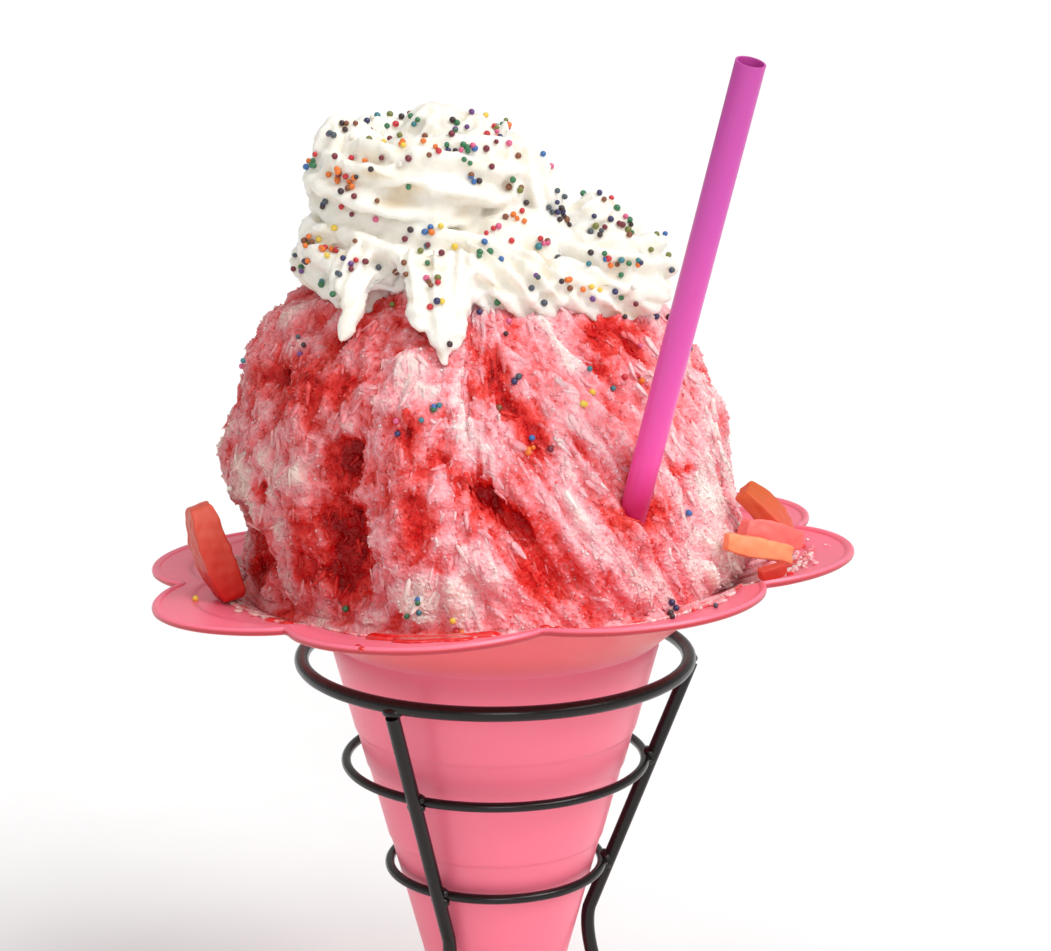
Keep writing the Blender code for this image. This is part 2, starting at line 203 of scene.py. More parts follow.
def reshape(obj, new_place):
    """Move every vertex to new_place(its place, its direction), all worked out before any moves."""
    places = [new_place(vert.co.copy(), vert.normal.copy()) for vert in obj.data.vertices]
    for vert, place in zip(obj.data.vertices, places):
        vert.co = place


def joined(pieces):
    """Several pieces made one."""
    only(pieces[0])
    for piece in pieces:
        piece.select_set(True)
    bpy.ops.object.join()
    return bpy.context.object


BLACK = black_coating()
BUTT_WELD_AZIMUTH = 150.0
BUTT_WELD_REACH = 1.8 * MM
BUTT_WELD_SWELL = 0.22 * MM


def polar(radius, azimuth, z):
    """A point from its distance to the axis and its azimuth, 0 at the front and growing to the right."""
    angle = math.radians(azimuth)
    return Vector((radius * math.sin(angle), -radius * math.cos(angle), z))


def bent_ring(node):
    """A wire ring the size of its CAD node, a little swollen where its ends are welded."""
    low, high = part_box(node)
    wire_r = (high.z - low.z) / 2
    ring_r = high.x - wire_r
    level = (high.z + low.z) / 2
    bpy.ops.mesh.primitive_torus_add(
        major_segments=144, minor_segments=16, major_radius=ring_r, minor_radius=wire_r,
        location=(0, 0, level),
    )
    ring = settle(bpy.context.object, f"{node}_wire", BLACK)
    weld = polar(ring_r, BUTT_WELD_AZIMUTH, level)
    pick(ring, lambda co: (co - weld).length < BUTT_WELD_REACH + wire_r)
    bpy.ops.transform.shrink_fatten(value=BUTT_WELD_SWELL)
    bpy.ops.mesh.select_all(action="DESELECT")
    bpy.ops.object.mode_set(mode="OBJECT")
    reshape(ring, lambda place, _: Vector((place.x, place.y, max(place.z, low.z))))
    bpy.ops.object.shade_smooth()
    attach(ring, "root")
    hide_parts(node)
    return ring_r, wire_r, level


RINGS = {node: bent_ring(node) for node in ("ring_top", "ring_mid", "ring_low", "base_ring")}
TOP_RING_R, _, TOP_LEVEL = RINGS["ring_top"]
BASE_R, _, BASE_LEVEL = RINGS["base_ring"]

# ---- Holder legs ----
# Three straight wires down the outside of the cup, each bent outwards at its foot
# and welded to all four rings before the coating.
LEG_SLOPE = 0.389
LEG_WIRE_R = 1.45 * MM
LEG_AZIMUTHS = {"leg_1": -29.3, "leg_2": 90.7, "leg_3": 210.7}
LEG_OUTSIDE_RING = 1.4 * MM
LEG_TOP_DROP = 2.0 * MM
LEG_BEND_Z = 49.0 * MM
LEG_TUCK_SLOPE = 0.2624
LEG_TOP_PULL = 4 * MM
LEG_BEND_PULLS = (4 * MM, 8 * MM)
LEG_FOOT_PULLS = ((-19 * MM, 15 * MM), (3 * MM, -3 * MM))


def leg_r(level):
    """Distance of a leg's centre line from the axis on its straight stretch."""
    return TOP_RING_R + LEG_OUTSIDE_RING + LEG_SLOPE * (level - TOP_LEVEL)


def bent_leg(node, azimuth):
    """The leg's centre line as a curve of three knots, thickened to the wire."""
    top_z = TOP_LEVEL - LEG_TOP_DROP
    levels = (top_z, top_z + LEG_TOP_PULL, top_z - LEG_TOP_PULL)
    bend = Vector((leg_r(LEG_BEND_Z), LEG_BEND_Z))
    bend_in = bend + LEG_BEND_PULLS[0] * Vector((LEG_SLOPE, 1.0)).normalized()
    bend_out = bend - LEG_BEND_PULLS[1] * Vector((LEG_TUCK_SLOPE, 1.0)).normalized()
    foot = Vector((BASE_R - 0.3 * MM, BASE_LEVEL + 0.8 * MM))
    foot_in, foot_out = [foot + Vector(pull) for pull in LEG_FOOT_PULLS]
    bpy.ops.curve.primitive_bezier_curve_add()
    line = bpy.context.object
    curve = line.data
    spline = curve.splines[0]
    spline.bezier_points.add(1)
    knots = ([(leg_r(z), z) for z in levels], (bend, bend_in, bend_out), (foot, foot_in, foot_out))
    for point, (place, before, after) in zip(spline.bezier_points, knots):
        point.handle_left_type = "FREE"
        point.handle_right_type = "FREE"
        point.co = polar(place[0], azimuth, place[1])
        point.handle_left = polar(before[0], azimuth, before[1])
        point.handle_right = polar(after[0], azimuth, after[1])
    curve.resolution_u = 22
    curve.bevel_depth = LEG_WIRE_R
    curve.bevel_resolution = 6
    curve.use_fill_caps = True
    only(line)
    bpy.ops.object.convert(target="MESH")
    leg = settle(bpy.context.object, f"{node}_wire", BLACK)
    pick(leg, lambda co: False)
    close_edit()
    bpy.ops.object.shade_smooth_by_angle(angle=math.radians(50))
    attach(leg, "root")
    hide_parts(node)


for leg_node, leg_azimuth in LEG_AZIMUTHS.items():
    bent_leg(leg_node, leg_azimuth)

# ---- Weld beads ----
# A small lump of weld fills the corner between each leg and each ring; the sheared top
# of a leg sits just under the widest ring, and the coating runs over all of it.
WELD_R = 1.25 * MM
WELD_STRETCH = 1.7
BASE_WELD_STRETCH = 1.9
WELD_OVER_RING = Vector((0, 0, 0.7 * MM))
WELD_UNDER_RING = Vector((0, 0, -1.1 * MM))


def weld_bead(centre, outward, stretch):
    """A lump drawn out along the ring, dented a little by its own noise."""
    bpy.ops.mesh.primitive_uv_sphere_add(segments=16, ring_count=10, radius=WELD_R, location=centre)
    bead = settle(bpy.context.object, "bead", BLACK)
    along = Vector((0, 0, 1)).cross(outward).normalized()

    def dented(place, _):
        away = place - centre
        swell = 1 + 0.25 * noise.noise(place / (1.1 * MM))
        return centre + away * swell + along * away.dot(along) * (stretch - 1)

    reshape(bead, dented)
    return bead


beads = []
for azimuth in LEG_AZIMUTHS.values():
    outward = polar(1.0, azimuth, 0.0)
    for ring_r, _, level in list(RINGS.values())[:3]:
        middle = polar((ring_r + leg_r(level)) / 2, azimuth, level)
        if level < TOP_LEVEL:
            beads.append(weld_bead(middle + WELD_OVER_RING, outward, WELD_STRETCH))
        beads.append(weld_bead(middle + WELD_UNDER_RING, outward, WELD_STRETCH))
    inner_corner = polar(BASE_R - 1.3 * MM, azimuth, BASE_LEVEL + 1.2 * MM)
    beads.append(weld_bead(inner_corner, outward, BASE_WELD_STRETCH))
weld_beads = settle(joined(beads), "weld_beads", BLACK)
bpy.ops.object.shade_smooth()
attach(weld_beads, "root")

# ---- Cup ----
# A thin cup of pink plastic, moulded in one piece: a plain cone with a few shallow steps
# where cups stack, and a wide flare drawn out into eight petals with a turned lip.
CUP_STEPS = 288
CUP_WALL = 0.8 * MM
CUP_BASE_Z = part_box("cup")[0].z
CUP_BASE_R = 12.5 * MM
CUP_SLOPE = 0.2624
CUP_R_AT_RING = 33.0 * MM
NECK_Z = TOP_LEVEL + 5 * MM
NECK_R = 34.3 * MM
RIM_RISE = 15.5 * MM
PETALS = 8
PETAL_AZIMUTH = 30.4
PETAL_TIP_R = 72.9 * MM
PETAL_NOTCH_R = 63.5 * MM
MEAN_RIM_R = (PETAL_TIP_R + PETAL_NOTCH_R) / 2
RIM_TILT_X = 0.061
RIM_TILT_Y = -0.023
STACK_STEPS = (90.9 * MM, 82.9 * MM, 67.1 * MM)
STACK_STEP_DEPTH = 0.28 * MM
STACK_STEP_EASE = 0.9 * MM
CREASE_AT = 0.80
CREASE_STEP = 0.35 * MM
FLARE_CURVE = 1.8
PETAL_FULLNESS = 0.75
# The lip from below to above, outwards and upwards from the rim in mm.
TURNED_LIP = (
    (-0.3, -0.15), (0.25, -0.2), (0.65, 0.1), (0.75, 0.55),
    (0.65, 1.0), (0.25, 1.35), (-0.35, 1.3), (-0.8, 1.0),
)


def smooth_step(t):
    """0 below 0, 1 above 1, and an easy rise between."""
    t = min(1.0, max(0.0, t))
    return t * t * (3 - 2 * t)


def azimuth_of(place):
    """Azimuth of a place about the axis, in degrees."""
    return math.degrees(math.atan2(place.x, -place.y))


def wall_r(z):
    """Outer radius of the cone, which steps in by a hair below each stacking step."""
    steps = sum(smooth_step((level - z) / STACK_STEP_EASE) for level in STACK_STEPS)
    return CUP_R_AT_RING + CUP_SLOPE * (z - TOP_LEVEL) + STACK_STEP_DEPTH * (1.0 - steps)


def petal_reach(azimuth):
    """Radius of the rim: broad round petals with narrower dips between them."""
    wave = abs(math.cos(math.radians((azimuth - PETAL_AZIMUTH) * PETALS / 2)))
    return PETAL_NOTCH_R + (PETAL_TIP_R - PETAL_NOTCH_R) * wave**PETAL_FULLNESS


def flare_point(share, offset):
    """Profile point of the flare, offset along its upward normal; share is 0 at the neck, 1 at the rim."""
    r = NECK_R + (MEAN_RIM_R - NECK_R) * share
    crease = CREASE_STEP * smooth_step((share - CREASE_AT) / 0.03)
    left = max(0.0, 1 - share)
    settled = CREASE_STEP * smooth_step((share - CREASE_AT) / 0.2)
    z = NECK_Z + RIM_RISE * (1 - left**FLARE_CURVE) + crease - settled
    slope = RIM_RISE * FLARE_CURVE * left ** (FLARE_CURVE - 1) / (MEAN_RIM_R - NECK_R)
    length = math.hypot(1, slope)
    return r - offset * slope / length, z + offset / length


def drawn_to_petals(place):
    """Where a point of the round flare goes when the rim is drawn into petals and sits askew."""
    radius = math.hypot(place.x, place.y)
    share = (radius - NECK_R) / (MEAN_RIM_R - NECK_R)
    if place.z < NECK_Z or share <= 0:
        return place
    azimuth = azimuth_of(place)
    outer = smooth_step((share - 0.25) / 0.75)
    drawn = polar(radius + (petal_reach(azimuth) - MEAN_RIM_R) * share * outer, azimuth, place.z)
    drawn.z += (RIM_TILT_X * drawn.x + RIM_TILT_Y * drawn.y) * min(1.0, share)
    return drawn


def added(name, data):
    """A new object in the scene from a mesh, a curve, a light or a camera."""
    obj = bpy.data.objects.new(name, data)
    bpy.context.scene.collection.objects.link(obj)
    return obj


def turned(name, section, steps, material):
    """A closed body spun from its section, given as radius and height, from axis to axis."""
    line = bpy.data.meshes.new(name)
    line.from_pydata([(r, 0, z) for r, z in section], [(i, i + 1) for i in range(len(section) - 1)], [])
    body = settle(added(name, line), name, material)
    pick(body, lambda co: True)
    bpy.ops.mesh.spin(steps=steps, angle=2 * math.pi, center=(0, 0, 0), axis=(0, 0, 1))
    close_edit()
    return body


def cup_section():
    """Section of the wall, from the middle of the base up the outside and down the inside."""
    shares = [0.02, 0.05, 0.09] + [0.14 + 0.05 * i for i in range(9)]
    shares += [0.59, 0.64, 0.69, 0.74, 0.77, CREASE_AT - 0.01, CREASE_AT + 0.01, CREASE_AT + 0.03]
    shares += [0.86, 0.89, 0.92, 0.95, 0.975]
    heights = [CUP_BASE_Z + 3 * MM + 4 * MM * i for i in range(9)]
    for level in STACK_STEPS:
        heights += [level - 1.0 * MM, level - 0.6 * MM, level - 0.3 * MM, level, level + 2.6 * MM]
    heights += [72 * MM, 77 * MM, 87.5 * MM, 97 * MM, 101 * MM, 105 * MM, 108 * MM]
    section = [(0, CUP_BASE_Z + 0.5 * MM), (CUP_BASE_R - 3 * MM, CUP_BASE_Z + 0.5 * MM)]
    section += [(CUP_BASE_R - 2.2 * MM, CUP_BASE_Z), (CUP_BASE_R - 0.7 * MM, CUP_BASE_Z)]
    section += [(CUP_BASE_R, CUP_BASE_Z + 0.6 * MM)]
    section += [(wall_r(z), z) for z in sorted(heights)]
    section += [(NECK_R, NECK_Z)] + [flare_point(share, 0) for share in shares]
    rim_r, rim_z = flare_point(1.0, 0)
    section += [(rim_r + out * MM, rim_z + up * MM) for out, up in TURNED_LIP]
    section += [flare_point(share, CUP_WALL) for share in reversed(shares)]
    section += [(NECK_R - CUP_WALL, NECK_Z + 0.3 * MM)]
    section += [(wall_r(TOP_LEVEL - drop * MM) - CUP_WALL, TOP_LEVEL - drop * MM) for drop in (15, 35, 60)]
    floor_z = CUP_BASE_Z + 1.3 * MM
    section += [(wall_r(floor_z) - CUP_WALL, floor_z + 0.4 * MM), (0, floor_z)]
    return section


def add_value(obj, name, values):
    """Store one number for each vertex under a name that a material can read."""
    layer = obj.data.attributes.new(name, "FLOAT", "POINT")
    layer.data.foreach_set("value", np.asarray(values, dtype=np.float32))


def stored(place, name, output="Fac"):
    """A value or colour that the piece's mesh holds under a name."""
    return place.node("ShaderNodeAttribute", {"attribute_name": name}, {}, output)


def glow_through(weight, colors, reach):
    """Settings of a soft body that light sinks into: how much, how far each colour, and a reach in mm."""
    return {"Subsurface Weight": weight, "Subsurface Radius": colors, "Subsurface Scale": reach * MM}


def pink_plastic():
    """Satin moulded plastic, clouded a little, with painted glow on the flare's underside where light from
    the ice comes down through it, and a painted dark line of shade in the crease and under the lip.
    """
    material, shader, place = start_material(
        "pink_cup_plastic",
        {
            **glow_through(0.25, (1.0, 0.35, 0.35), 1.5),
            "Coat Weight": 0.15,
            "Coat Roughness": 0.25,
            "IOR": 1.49,
        },
    )
    # Painted glow: coral on the flare's underside, standing for light from the ice that comes through the
    # plastic.
    warm = stored(place, "warm")
    # Painted shade: a dark red line in the crease on top of the flare and along the underside of the
    # turned lip.
    line = stored(place, "line")
    patches = cloud(place, 45, 3.0)
    scuffs = cloud(place, 700, 5.0)
    body = mixed(patches, paint(254, 124, 148), paint(249, 114, 139))
    body = mixed(warm, body, paint(246, 110, 114))
    feed(
        shader,
        Base_Color=mixed(line, body, paint(176, 28, 48)),
        Roughness=0.30 + 0.16 * scuffs,
        Normal=bumped(patches * 1.5 + scuffs * 0.35, 0.25 * MM, 0.35),
    )
    return material


PINK = pink_plastic()
cup = turned("flower_cup", cup_section(), CUP_STEPS, PINK)
# Painted glow under the flare, growing outwards from the neck.
painted_ice_glow = []
painted_crease_shade = []
for vert in cup.data.vertices:
    radius = math.hypot(vert.co.x, vert.co.y)
    share = (radius - NECK_R) / (MEAN_RIM_R - NECK_R)
    outside = vert.normal.z < 0.05
    painted_ice_glow.append(smooth_step(share / 0.12) if outside and vert.co.z > NECK_Z - 1 * MM else 0.0)
    # Painted shade in the crease and under the lip.
    crease = math.exp(-(((share - CREASE_AT - 0.008) / 0.012) ** 2)) if vert.normal.z > 0 else 0.0
    edge = math.exp(-(((share - 1.018) / 0.014) ** 2)) if vert.normal.z < 0.5 else 0.0
    painted_crease_shade.append(0.4 * crease + 0.95 * edge)
add_value(cup, "warm", painted_ice_glow)
add_value(cup, "line", painted_crease_shade)
reshape(cup, lambda place, _: drawn_to_petals(place))
pick(cup, lambda co: False)
close_edit()
bpy.ops.object.shade_smooth_by_angle(angle=math.radians(40))
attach(cup, "root")
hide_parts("cup")

# ---- Shaved ice ----
# Fine flakes shaved from a block and heaped into a dome that overhangs the cup, in long slanting
# layers at the right and torn clumps at the left, soaked with red syrup that gathers in the hollows.
ICE_STEPS = 470
ICE_BASE_Z = TOP_LEVEL + 19 * MM
ICE_WIDE_Z = TOP_LEVEL + 38 * MM
ICE_WIDE_R = 50.2 * MM
ICE_FOOT_SHARE = 0.54
ICE_SLID = 7.0 * MM
ICE_HEIGHT = 47.5 * MM
ICE_LEAN = -4.1 * MM
RIGHT_BULGE = 0.8 * MM
LEFT_DRAWN_IN = 0.5 * MM
SCRAPED_SLANT = 40
TORN_SLANT = -6
SECTION_STEP = 0.52
SECTION_STEP_ON_TOP = 0.9
PATCH_R = 50
# Each patch below has an azimuth, a height over the top ring, half-widths across and along in mm,
# a lean from upright, and a strength: mm of depth for a hollow (below zero for a ridge), or more
# syrup for a stain (below zero for ice that stayed pale). The azimuths of the hollows are taken on
# the upright dome, and those of the stains on the heap as it stands after it has leaned.
HOLLOWS = [
    (-13, 46, 7.5, 26, 0, -3.0),
    (-31, 36, 5.0, 11, 12, 4.0),
    (-29, 50, 4.4, 5.0, 14, 2.6),
    (-43, 70, 3.0, 5.0, -10, 3.0),
    (-58, 62, 6.0, 3.4, 10, 2.2),
    (-44, 47, 6.0, 8.0, 0, -1.6),
    (-61, 30, 4.0, 6.0, 10, 2.8),
    (-85, 32, 17.0, 5.0, 0, 4.0),
    (-82, 44, 7.0, 4.5, 0, -2.2),
    (-62, 50, 4.0, 9.0, -8, -1.4),
    (26, 58, 2.6, 16.0, 34, -1.2),
    (40, 46, 2.4, 14.0, 30, -1.1),
    (5, 43, 2.6, 8.5, 47, 1.8),
    (15, 29, 4.2, 6.0, 22, 1.2),
    (1, 31, 2.4, 10.0, 38, -1.6),
    (17, 38, 3.0, 15.0, 36, -1.6),
    (32, 36, 8.0, 6.0, 0, -3.8),
    (31, 25, 9.0, 6.0, 0, -1.6),
    (52, 56, 8.0, 14.0, 25, -1.4),
    (64, 26, 14.0, 8.0, 0, -2.0),
    (-76, 70, 15.0, 9.0, 0, -3.4),
    (104, 50, 6.0, 12.0, 20, 2.6),
    (128, 60, 5.0, 14.0, 10, -1.8),
    (150, 38, 7.0, 10.0, 0, 3.0),
    (176, 46, 7.0, 16.0, -12, -2.0),
    (-160, 56, 6.0, 8.0, 0, 2.8),
    (-136, 36, 7.0, 14.0, 0, -2.0),
    (-112, 42, 6.0, 10.0, -10, 3.0),
]
STAINS = [
    (41, 71, 9.0, 4.5, 25, 0.34),
    (44, 69, 2.2, 4.5, 42, 0.38),
    (35, 73, 2.0, 2.5, 40, 0.30),
    (0, 67, 4.5, 4.0, 20, 0.34),
    (8, 58, 2.6, 6.0, 38, 0.26),
    (2, 62, 2.0, 3.0, 40, 0.30),
    (-61, 62, 6.0, 3.0, 12, 0.50),
    (-52, 58, 3.5, 3.0, 0, 0.30),
    (-46, 70, 2.8, 4.2, -10, 0.66),
    (-36, 60, 3.0, 3.0, 0, 0.22),
    (-34, 49.5, 4.8, 4.8, 14, 0.95),
    (-42, 63, 4.0, 3.4, 0, 0.22),
    (-34, 37, 5.8, 7.0, 14, 0.66),
    (-34, 28, 5.8, 4.4, 20, 0.54),
    (-43, 37, 4.4, 4.6, 0, 0.26),
    (-45, 26, 5.0, 3.0, 0, 0.30),
    (-41, 74, 4.0, 3.4, 0, 0.34),
    (-63, 30, 3.8, 5.2, 12, 0.62),
    (-68, 23, 5.0, 2.8, 0, 0.36),
    (-57, 42, 1.8, 2.4, 0, 0.50),
    (-72, 32, 3.0, 3.0, 0, 0.30),
    (-15, 47, 6.0, 8.0, 0, 0.28),
    (-15, 36, 4.8, 6.5, 0, 0.20),
    (-20, 57, 4.0, 3.5, 0, 0.16),
    (1, 43, 2.2, 8.5, 47, 0.44),
    (-3, 45.5, 3.0, 3.0, 0, 0.24),
    (6, 40, 3.0, 4.4, 30, 0.20),
    (6, 49, 3.0, 4.0, 30, 0.22),
    (-4, 40, 2.8, 3.0, 30, 0.16),
    (46, 49, 4.0, 5.0, 20, 0.12),
    (9, 54, 3.2, 4.4, 30, 0.36),
    (31, 71, 3.6, 3.0, 20, 0.34),
    (30, 65, 3.0, 3.0, 30, 0.18),
    (11, 28.5, 5.0, 5.4, 20, 0.34),
    (7, 34, 3.0, 4.0, 20, 0.14),
    (31, 47, 3.0, 7.0, 25, 0.16),
    (31, 40, 4.6, 2.0, 0, 0.40),
    (50, 46, 3.0, 1.1, 0, 0.50),
    (57, 60, 3.0, 6.0, 30, 0.14),
    (-4, 54, 3.4, 4.5, 0, -0.30),
    (-2, 33, 3.0, 5.5, 30, -0.22),
    (-13, 25, 8.5, 4.0, 0, -0.32),
    (-13, 69, 5.0, 7.0, 0, -0.16),
    (-66, 43, 5.0, 3.6, 0, -0.66),
    (-63, 37, 5.0, 2.8, 0, -0.60),
    (-46, 47.5, 4.4, 4.0, 0, -0.34),
    (-50, 24, 6.0, 2.6, 0, -0.20),
    (20, 68, 3.4, 7.0, 40, -0.20),
    (16.5, 47, 3.0, 10.0, 36, -0.22),
    (17, 37, 2.6, 5.0, 36, -0.22),
    (62, 38, 11.0, 16.0, 30, -0.22),
    (66, 23, 9.0, 4.0, 0, -0.16),
    (52, 27, 10.0, 5.0, 0, -0.22),
    (70, 58, 8.0, 12.0, 0, -0.08),
    (36, 27, 6.0, 3.5, 0, -0.14),
]
chance = np.random.default_rng(20)
for _ in range(30):
    STAINS.append(
        (
            chance.uniform(84, 278),
            chance.uniform(24, 76),
            chance.uniform(2.5, 7.0),
            chance.uniform(3.5, 9.0),
            chance.uniform(-35, 25),
            chance.choice((0.5, 0.34, 0.24, -0.22, -0.30)),
        )
    )


def ice_r(z):
    """Mean radius of the dome at a height: upright up to its widest level, and rounded in above it."""
    share = max(0.0, z - ICE_WIDE_Z) / ICE_HEIGHT
    return ICE_WIDE_R * max(0.0, 1 - share**2.2) ** (1 / 2.2)


def ice_section():
    """Section of the filling in the cup and of the dome over it."""
    clear = CUP_WALL + 0.45 * MM
    floor_z = CUP_BASE_Z + 1.8 * MM
    section = [(0, floor_z), (wall_r(floor_z) - clear - 0.3 * MM, floor_z + 0.5 * MM)]
    section += [(wall_r(TOP_LEVEL - drop * MM) - clear, TOP_LEVEL - drop * MM) for drop in (50, 20)]
    section += [(NECK_R - clear, NECK_Z + 0.6 * MM)]
    section += [flare_point(share, clear + 0.15 * MM) for share in (0.1, 0.2, 0.3, 0.42)]
    foot_r, foot_z = flare_point(ICE_FOOT_SHARE, CUP_WALL + 0.15 * MM)
    for t in (0.0, 0.25, 0.5, 0.75):
        section.append((foot_r + (ICE_WIDE_R - foot_r) * t**0.6, foot_z + (ICE_BASE_Z - foot_z) * t))
    rise = 0.0
    while rise < 65.5:
        z = ICE_BASE_Z + rise * MM
        section.append((ice_r(z), z))
        rise += SECTION_STEP if rise < 56 else SECTION_STEP_ON_TOP
    section.append((0, ICE_WIDE_Z + ICE_HEIGHT - 0.6 * MM))
    return section


def turn_between(azimuth, other):
    """Shortest turn from one azimuth to another, in degrees."""
    return (azimuth - other + 180) % 360 - 180


def patches_at(place, azimuth, patches):
    """Sum of the soft oval patches of a list at a place."""
    total = 0.0
    height = (place.z - TOP_LEVEL) / MM
    for patch_azimuth, patch_height, half_across, half_along, lean, strength in patches:
        across = math.radians(turn_between(azimuth, patch_azimuth)) * PATCH_R
        along = patch_height - height
        if abs(across) > 40 or abs(along) > 50:
            continue
        cos, sin = math.cos(math.radians(lean)), math.sin(math.radians(lean))
        side = (across * cos - along * sin) / half_across
        down = (across * sin + along * cos) / half_along
        total += strength * math.exp(-(side * side + down * down))
    return total


def right_share(azimuth):
    """1 on the side that was scraped in slanting layers, 0 on the torn side."""
    return smooth_step((azimuth + 12) / 14) * (1 - smooth_step((azimuth - 80) / 40))


def slant_at(azimuth):
    """How far the layers lean from upright at an azimuth, in degrees."""
    return SCRAPED_SLANT * right_share(azimuth) + TORN_SLANT


def swept(place, azimuth):
    """The place in a space where the slanting layers run straight up and down."""
    rise = place.z - ICE_BASE_Z
    turn = math.degrees(math.tan(math.radians(slant_at(azimuth))) * rise / ICE_WIDE_R)
    return polar(math.hypot(place.x, place.y), azimuth + turn, place.z)


def lumps_at(place, azimuth):
    """Height of the heap's upright ridges, lumps and hollows over the mean dome."""
    lane = swept(place, azimuth) / MM
    lump = 1.7 * noise.noise(Vector((lane.x / 8, lane.y / 8, lane.z / 30)))
    lump += 1.2 * noise.noise(place / (9 * MM))
    return (lump - patches_at(place, azimuth, HOLLOWS)) * MM


ICE_RAMP = [
    (0.00, paint(254, 240, 232)),
    (0.16, paint(252, 210, 209)),
    (0.34, paint(251, 170, 178)),
    (0.50, paint(246, 124, 128)),
    (0.66, paint(232, 62, 54)),
    (0.82, paint(212, 20, 18)),
    (1.00, paint(164, 2, 6)),
]
# Painted shade: the ice's colour is multiplied by this towards its left side, away from the key light.
LEFT_SHADE_TINT = (0.77, 0.62, 0.60)


def share_between(place, axis, start, end, ease="LINEAR"):
    """How far a place is from start to end along an axis, from 0 to 1."""
    along = place.node("ShaderNodeSeparateXYZ", {}, {0: place}, axis)
    return along.node(
        "ShaderNodeMapRange", {"interpolation_type": ease}, {0: along, 1: start, 2: end, 3: 0.0, 4: 1.0}
    )


def fading(value, stops):
    """The colour that a value from 0 to 1 has between the stops."""
    return value.node("ShaderNodeValToRGB", {"stops": stops}, {0: value})


def cells(place, per_metre, output="Distance"):
    """Close-packed cells, this many to a metre: distance from each one's middle, or its own shade."""
    return place.node("ShaderNodeTexVoronoi", {}, {"Vector": place, "Scale": per_metre}, output)


def soaked_ice(name, roughness, bump):
    """Wet ice, pale where dry, through pink and coral to deep red, with painted shade that darkens its
    left side.
    """
    material, shader, place = start_material(
        name,
        {
            **glow_through(0.3, (1.0, 0.4, 0.35), 2.0),
            "IOR": 1.33,
            "Specular IOR Level": 0.4,
            "Coat Weight": 0.08,
            "Coat Roughness": 0.15,
        },
    )
    syrup = stored(place, "syrup")
    seep = cloud(place, 300, 5.0)
    grain = cloud(place, 1700, 3.0)
    crystals = cells(place, 1300.0)
    shades = cells(place, 1300.0, "Color")
    soaked = syrup + (seep - 0.5) * 0.36 + (grain - 0.5) * 0.16 + (shades - 0.5) * 0.16
    # Painted shade, which darkens the ice more the further it lies to the left.
    painted_left_shade = share_between(place, "X", -5 * MM, -36 * MM, "SMOOTHSTEP")
    feed(
        shader,
        Base_Color=mixed(painted_left_shade, fading(soaked, ICE_RAMP), LEFT_SHADE_TINT, "MULTIPLY"),
        Roughness=roughness - 0.2 * soaked + 0.2 * grain,
        Normal=bumped(grain * 0.7 + seep * 0.6 + crystals * 0.9, bump, 0.9),
    )
    return material


ICE = soaked_ice("soaked_ice", 0.44, 0.42 * MM)
ice = turned("shaved_ice_heap", ice_section(), ICE_STEPS, ICE)


def heaped(place, _):
    """A place on the mean dome moved out to the heap's lumps, lean and tilt."""
    radius = math.hypot(place.x, place.y)
    rise = (place.z - ICE_BASE_Z) / MM
    share = max(0.0, (radius - NECK_R) / (MEAN_RIM_R - NECK_R))
    if place.z > NECK_Z:
        tilt = RIM_TILT_X * place.x + RIM_TILT_Y * place.y
        place.z += tilt * share * (1 - smooth_step(rise / 20))
    azimuth = azimuth_of(place)
    if share > 0.48:
        slid = ICE_SLID * math.exp(-((turn_between(azimuth, 70) / 24) ** 2)) * (1 - smooth_step(rise / 13))
        place += polar(slid, azimuth, 0.27 * slid * (1 - smooth_step(rise / 6)))
        radius += slid
    if rise < -0.2:
        return place
    lump = lumps_at(place, azimuth) * smooth_step(rise / 6) * min(1.0, radius / (20 * MM))
    moved = polar(max(radius + lump, 0.0), azimuth, place.z)
    moved.x += ICE_LEAN * smooth_step(rise / 20)
    beside = moved.x / (50 * MM)
    moved.x += RIGHT_BULGE * smooth_step(beside) + LEFT_DRAWN_IN * smooth_step(-beside)
    return moved


reshape(ice, heaped)
ice.data.update()
syrup = []


def shaved(place, up):
    """Layers, torn clumps, holes and grains on the heap; the syrup each place holds is noted."""
    rise = (place.z - ICE_BASE_Z) / MM
    if rise < -2.2:
        syrup.append(0.5)
        return place
    azimuth = azimuth_of(place)
    right = right_share(azimuth)
    lane = swept(place, azimuth) / MM
    broad = noise.fractal(Vector((lane.x / 7, lane.y / 7, lane.z / 18)), 1.0, 2.0, 3)
    wide = noise.noise(Vector((lane.x / 2.6, lane.y / 2.6, lane.z / 17)))
    narrow = noise.noise(Vector((lane.x / 1.1, lane.y / 1.1, lane.z / 7)))
    clump = noise.fractal(place / (5.5 * MM) + Vector((7, 3, 1)), 0.9, 2.0, 4)
    grain = noise.noise(place / (1.1 * MM))
    torn = 1 - 0.85 * right
    height = (0.5 + 1.2 * right) * wide + 0.55 * narrow + (0.3 + 1.3 * torn) * clump + 0.26 * grain
    soaked = 0.42 + patches_at(place, azimuth, STAINS)
    height -= 1.3 * smooth_step((soaked - 0.62) / 0.4)
    soaked -= (0.26 - 0.08 * right) * broad + (0.06 + 0.20 * right) * wide + 0.30 * torn * clump
    syrup.append(soaked - 0.12 * narrow - 0.05 * grain)
    return place + up * (0.5 + height * smooth_step((rise + 2.2) / 3)) * MM


reshape(ice, shaved)
add_value(ice, "syrup", syrup)
only(ice)
bpy.ops.object.shade_smooth()
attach(ice, "root")
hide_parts("shaved_ice")

# ---- Loose flakes ----
# Shaved slivers that stand proud of the heap, lying along the layers, and broken grains between them.
# They caught less syrup than the ice under them, so they are a little paler.
FLAKES = 4600
GRAINS = 9000
FLAKES_FROM = 19.5
FLAKES_TO = 80


def rows(vectors):
    """Vectors as the rows of an array."""
    return np.array([vector[:] for vector in vectors])


def taken(pattern):
    """Corners and faces of a small shape, which leaves the scene to be copied."""
    corners = rows(vert.co for vert in pattern.data.vertices)
    faces = rows(face.vertices for face in pattern.data.polygons)
    bpy.data.objects.remove(pattern)
    return corners, faces


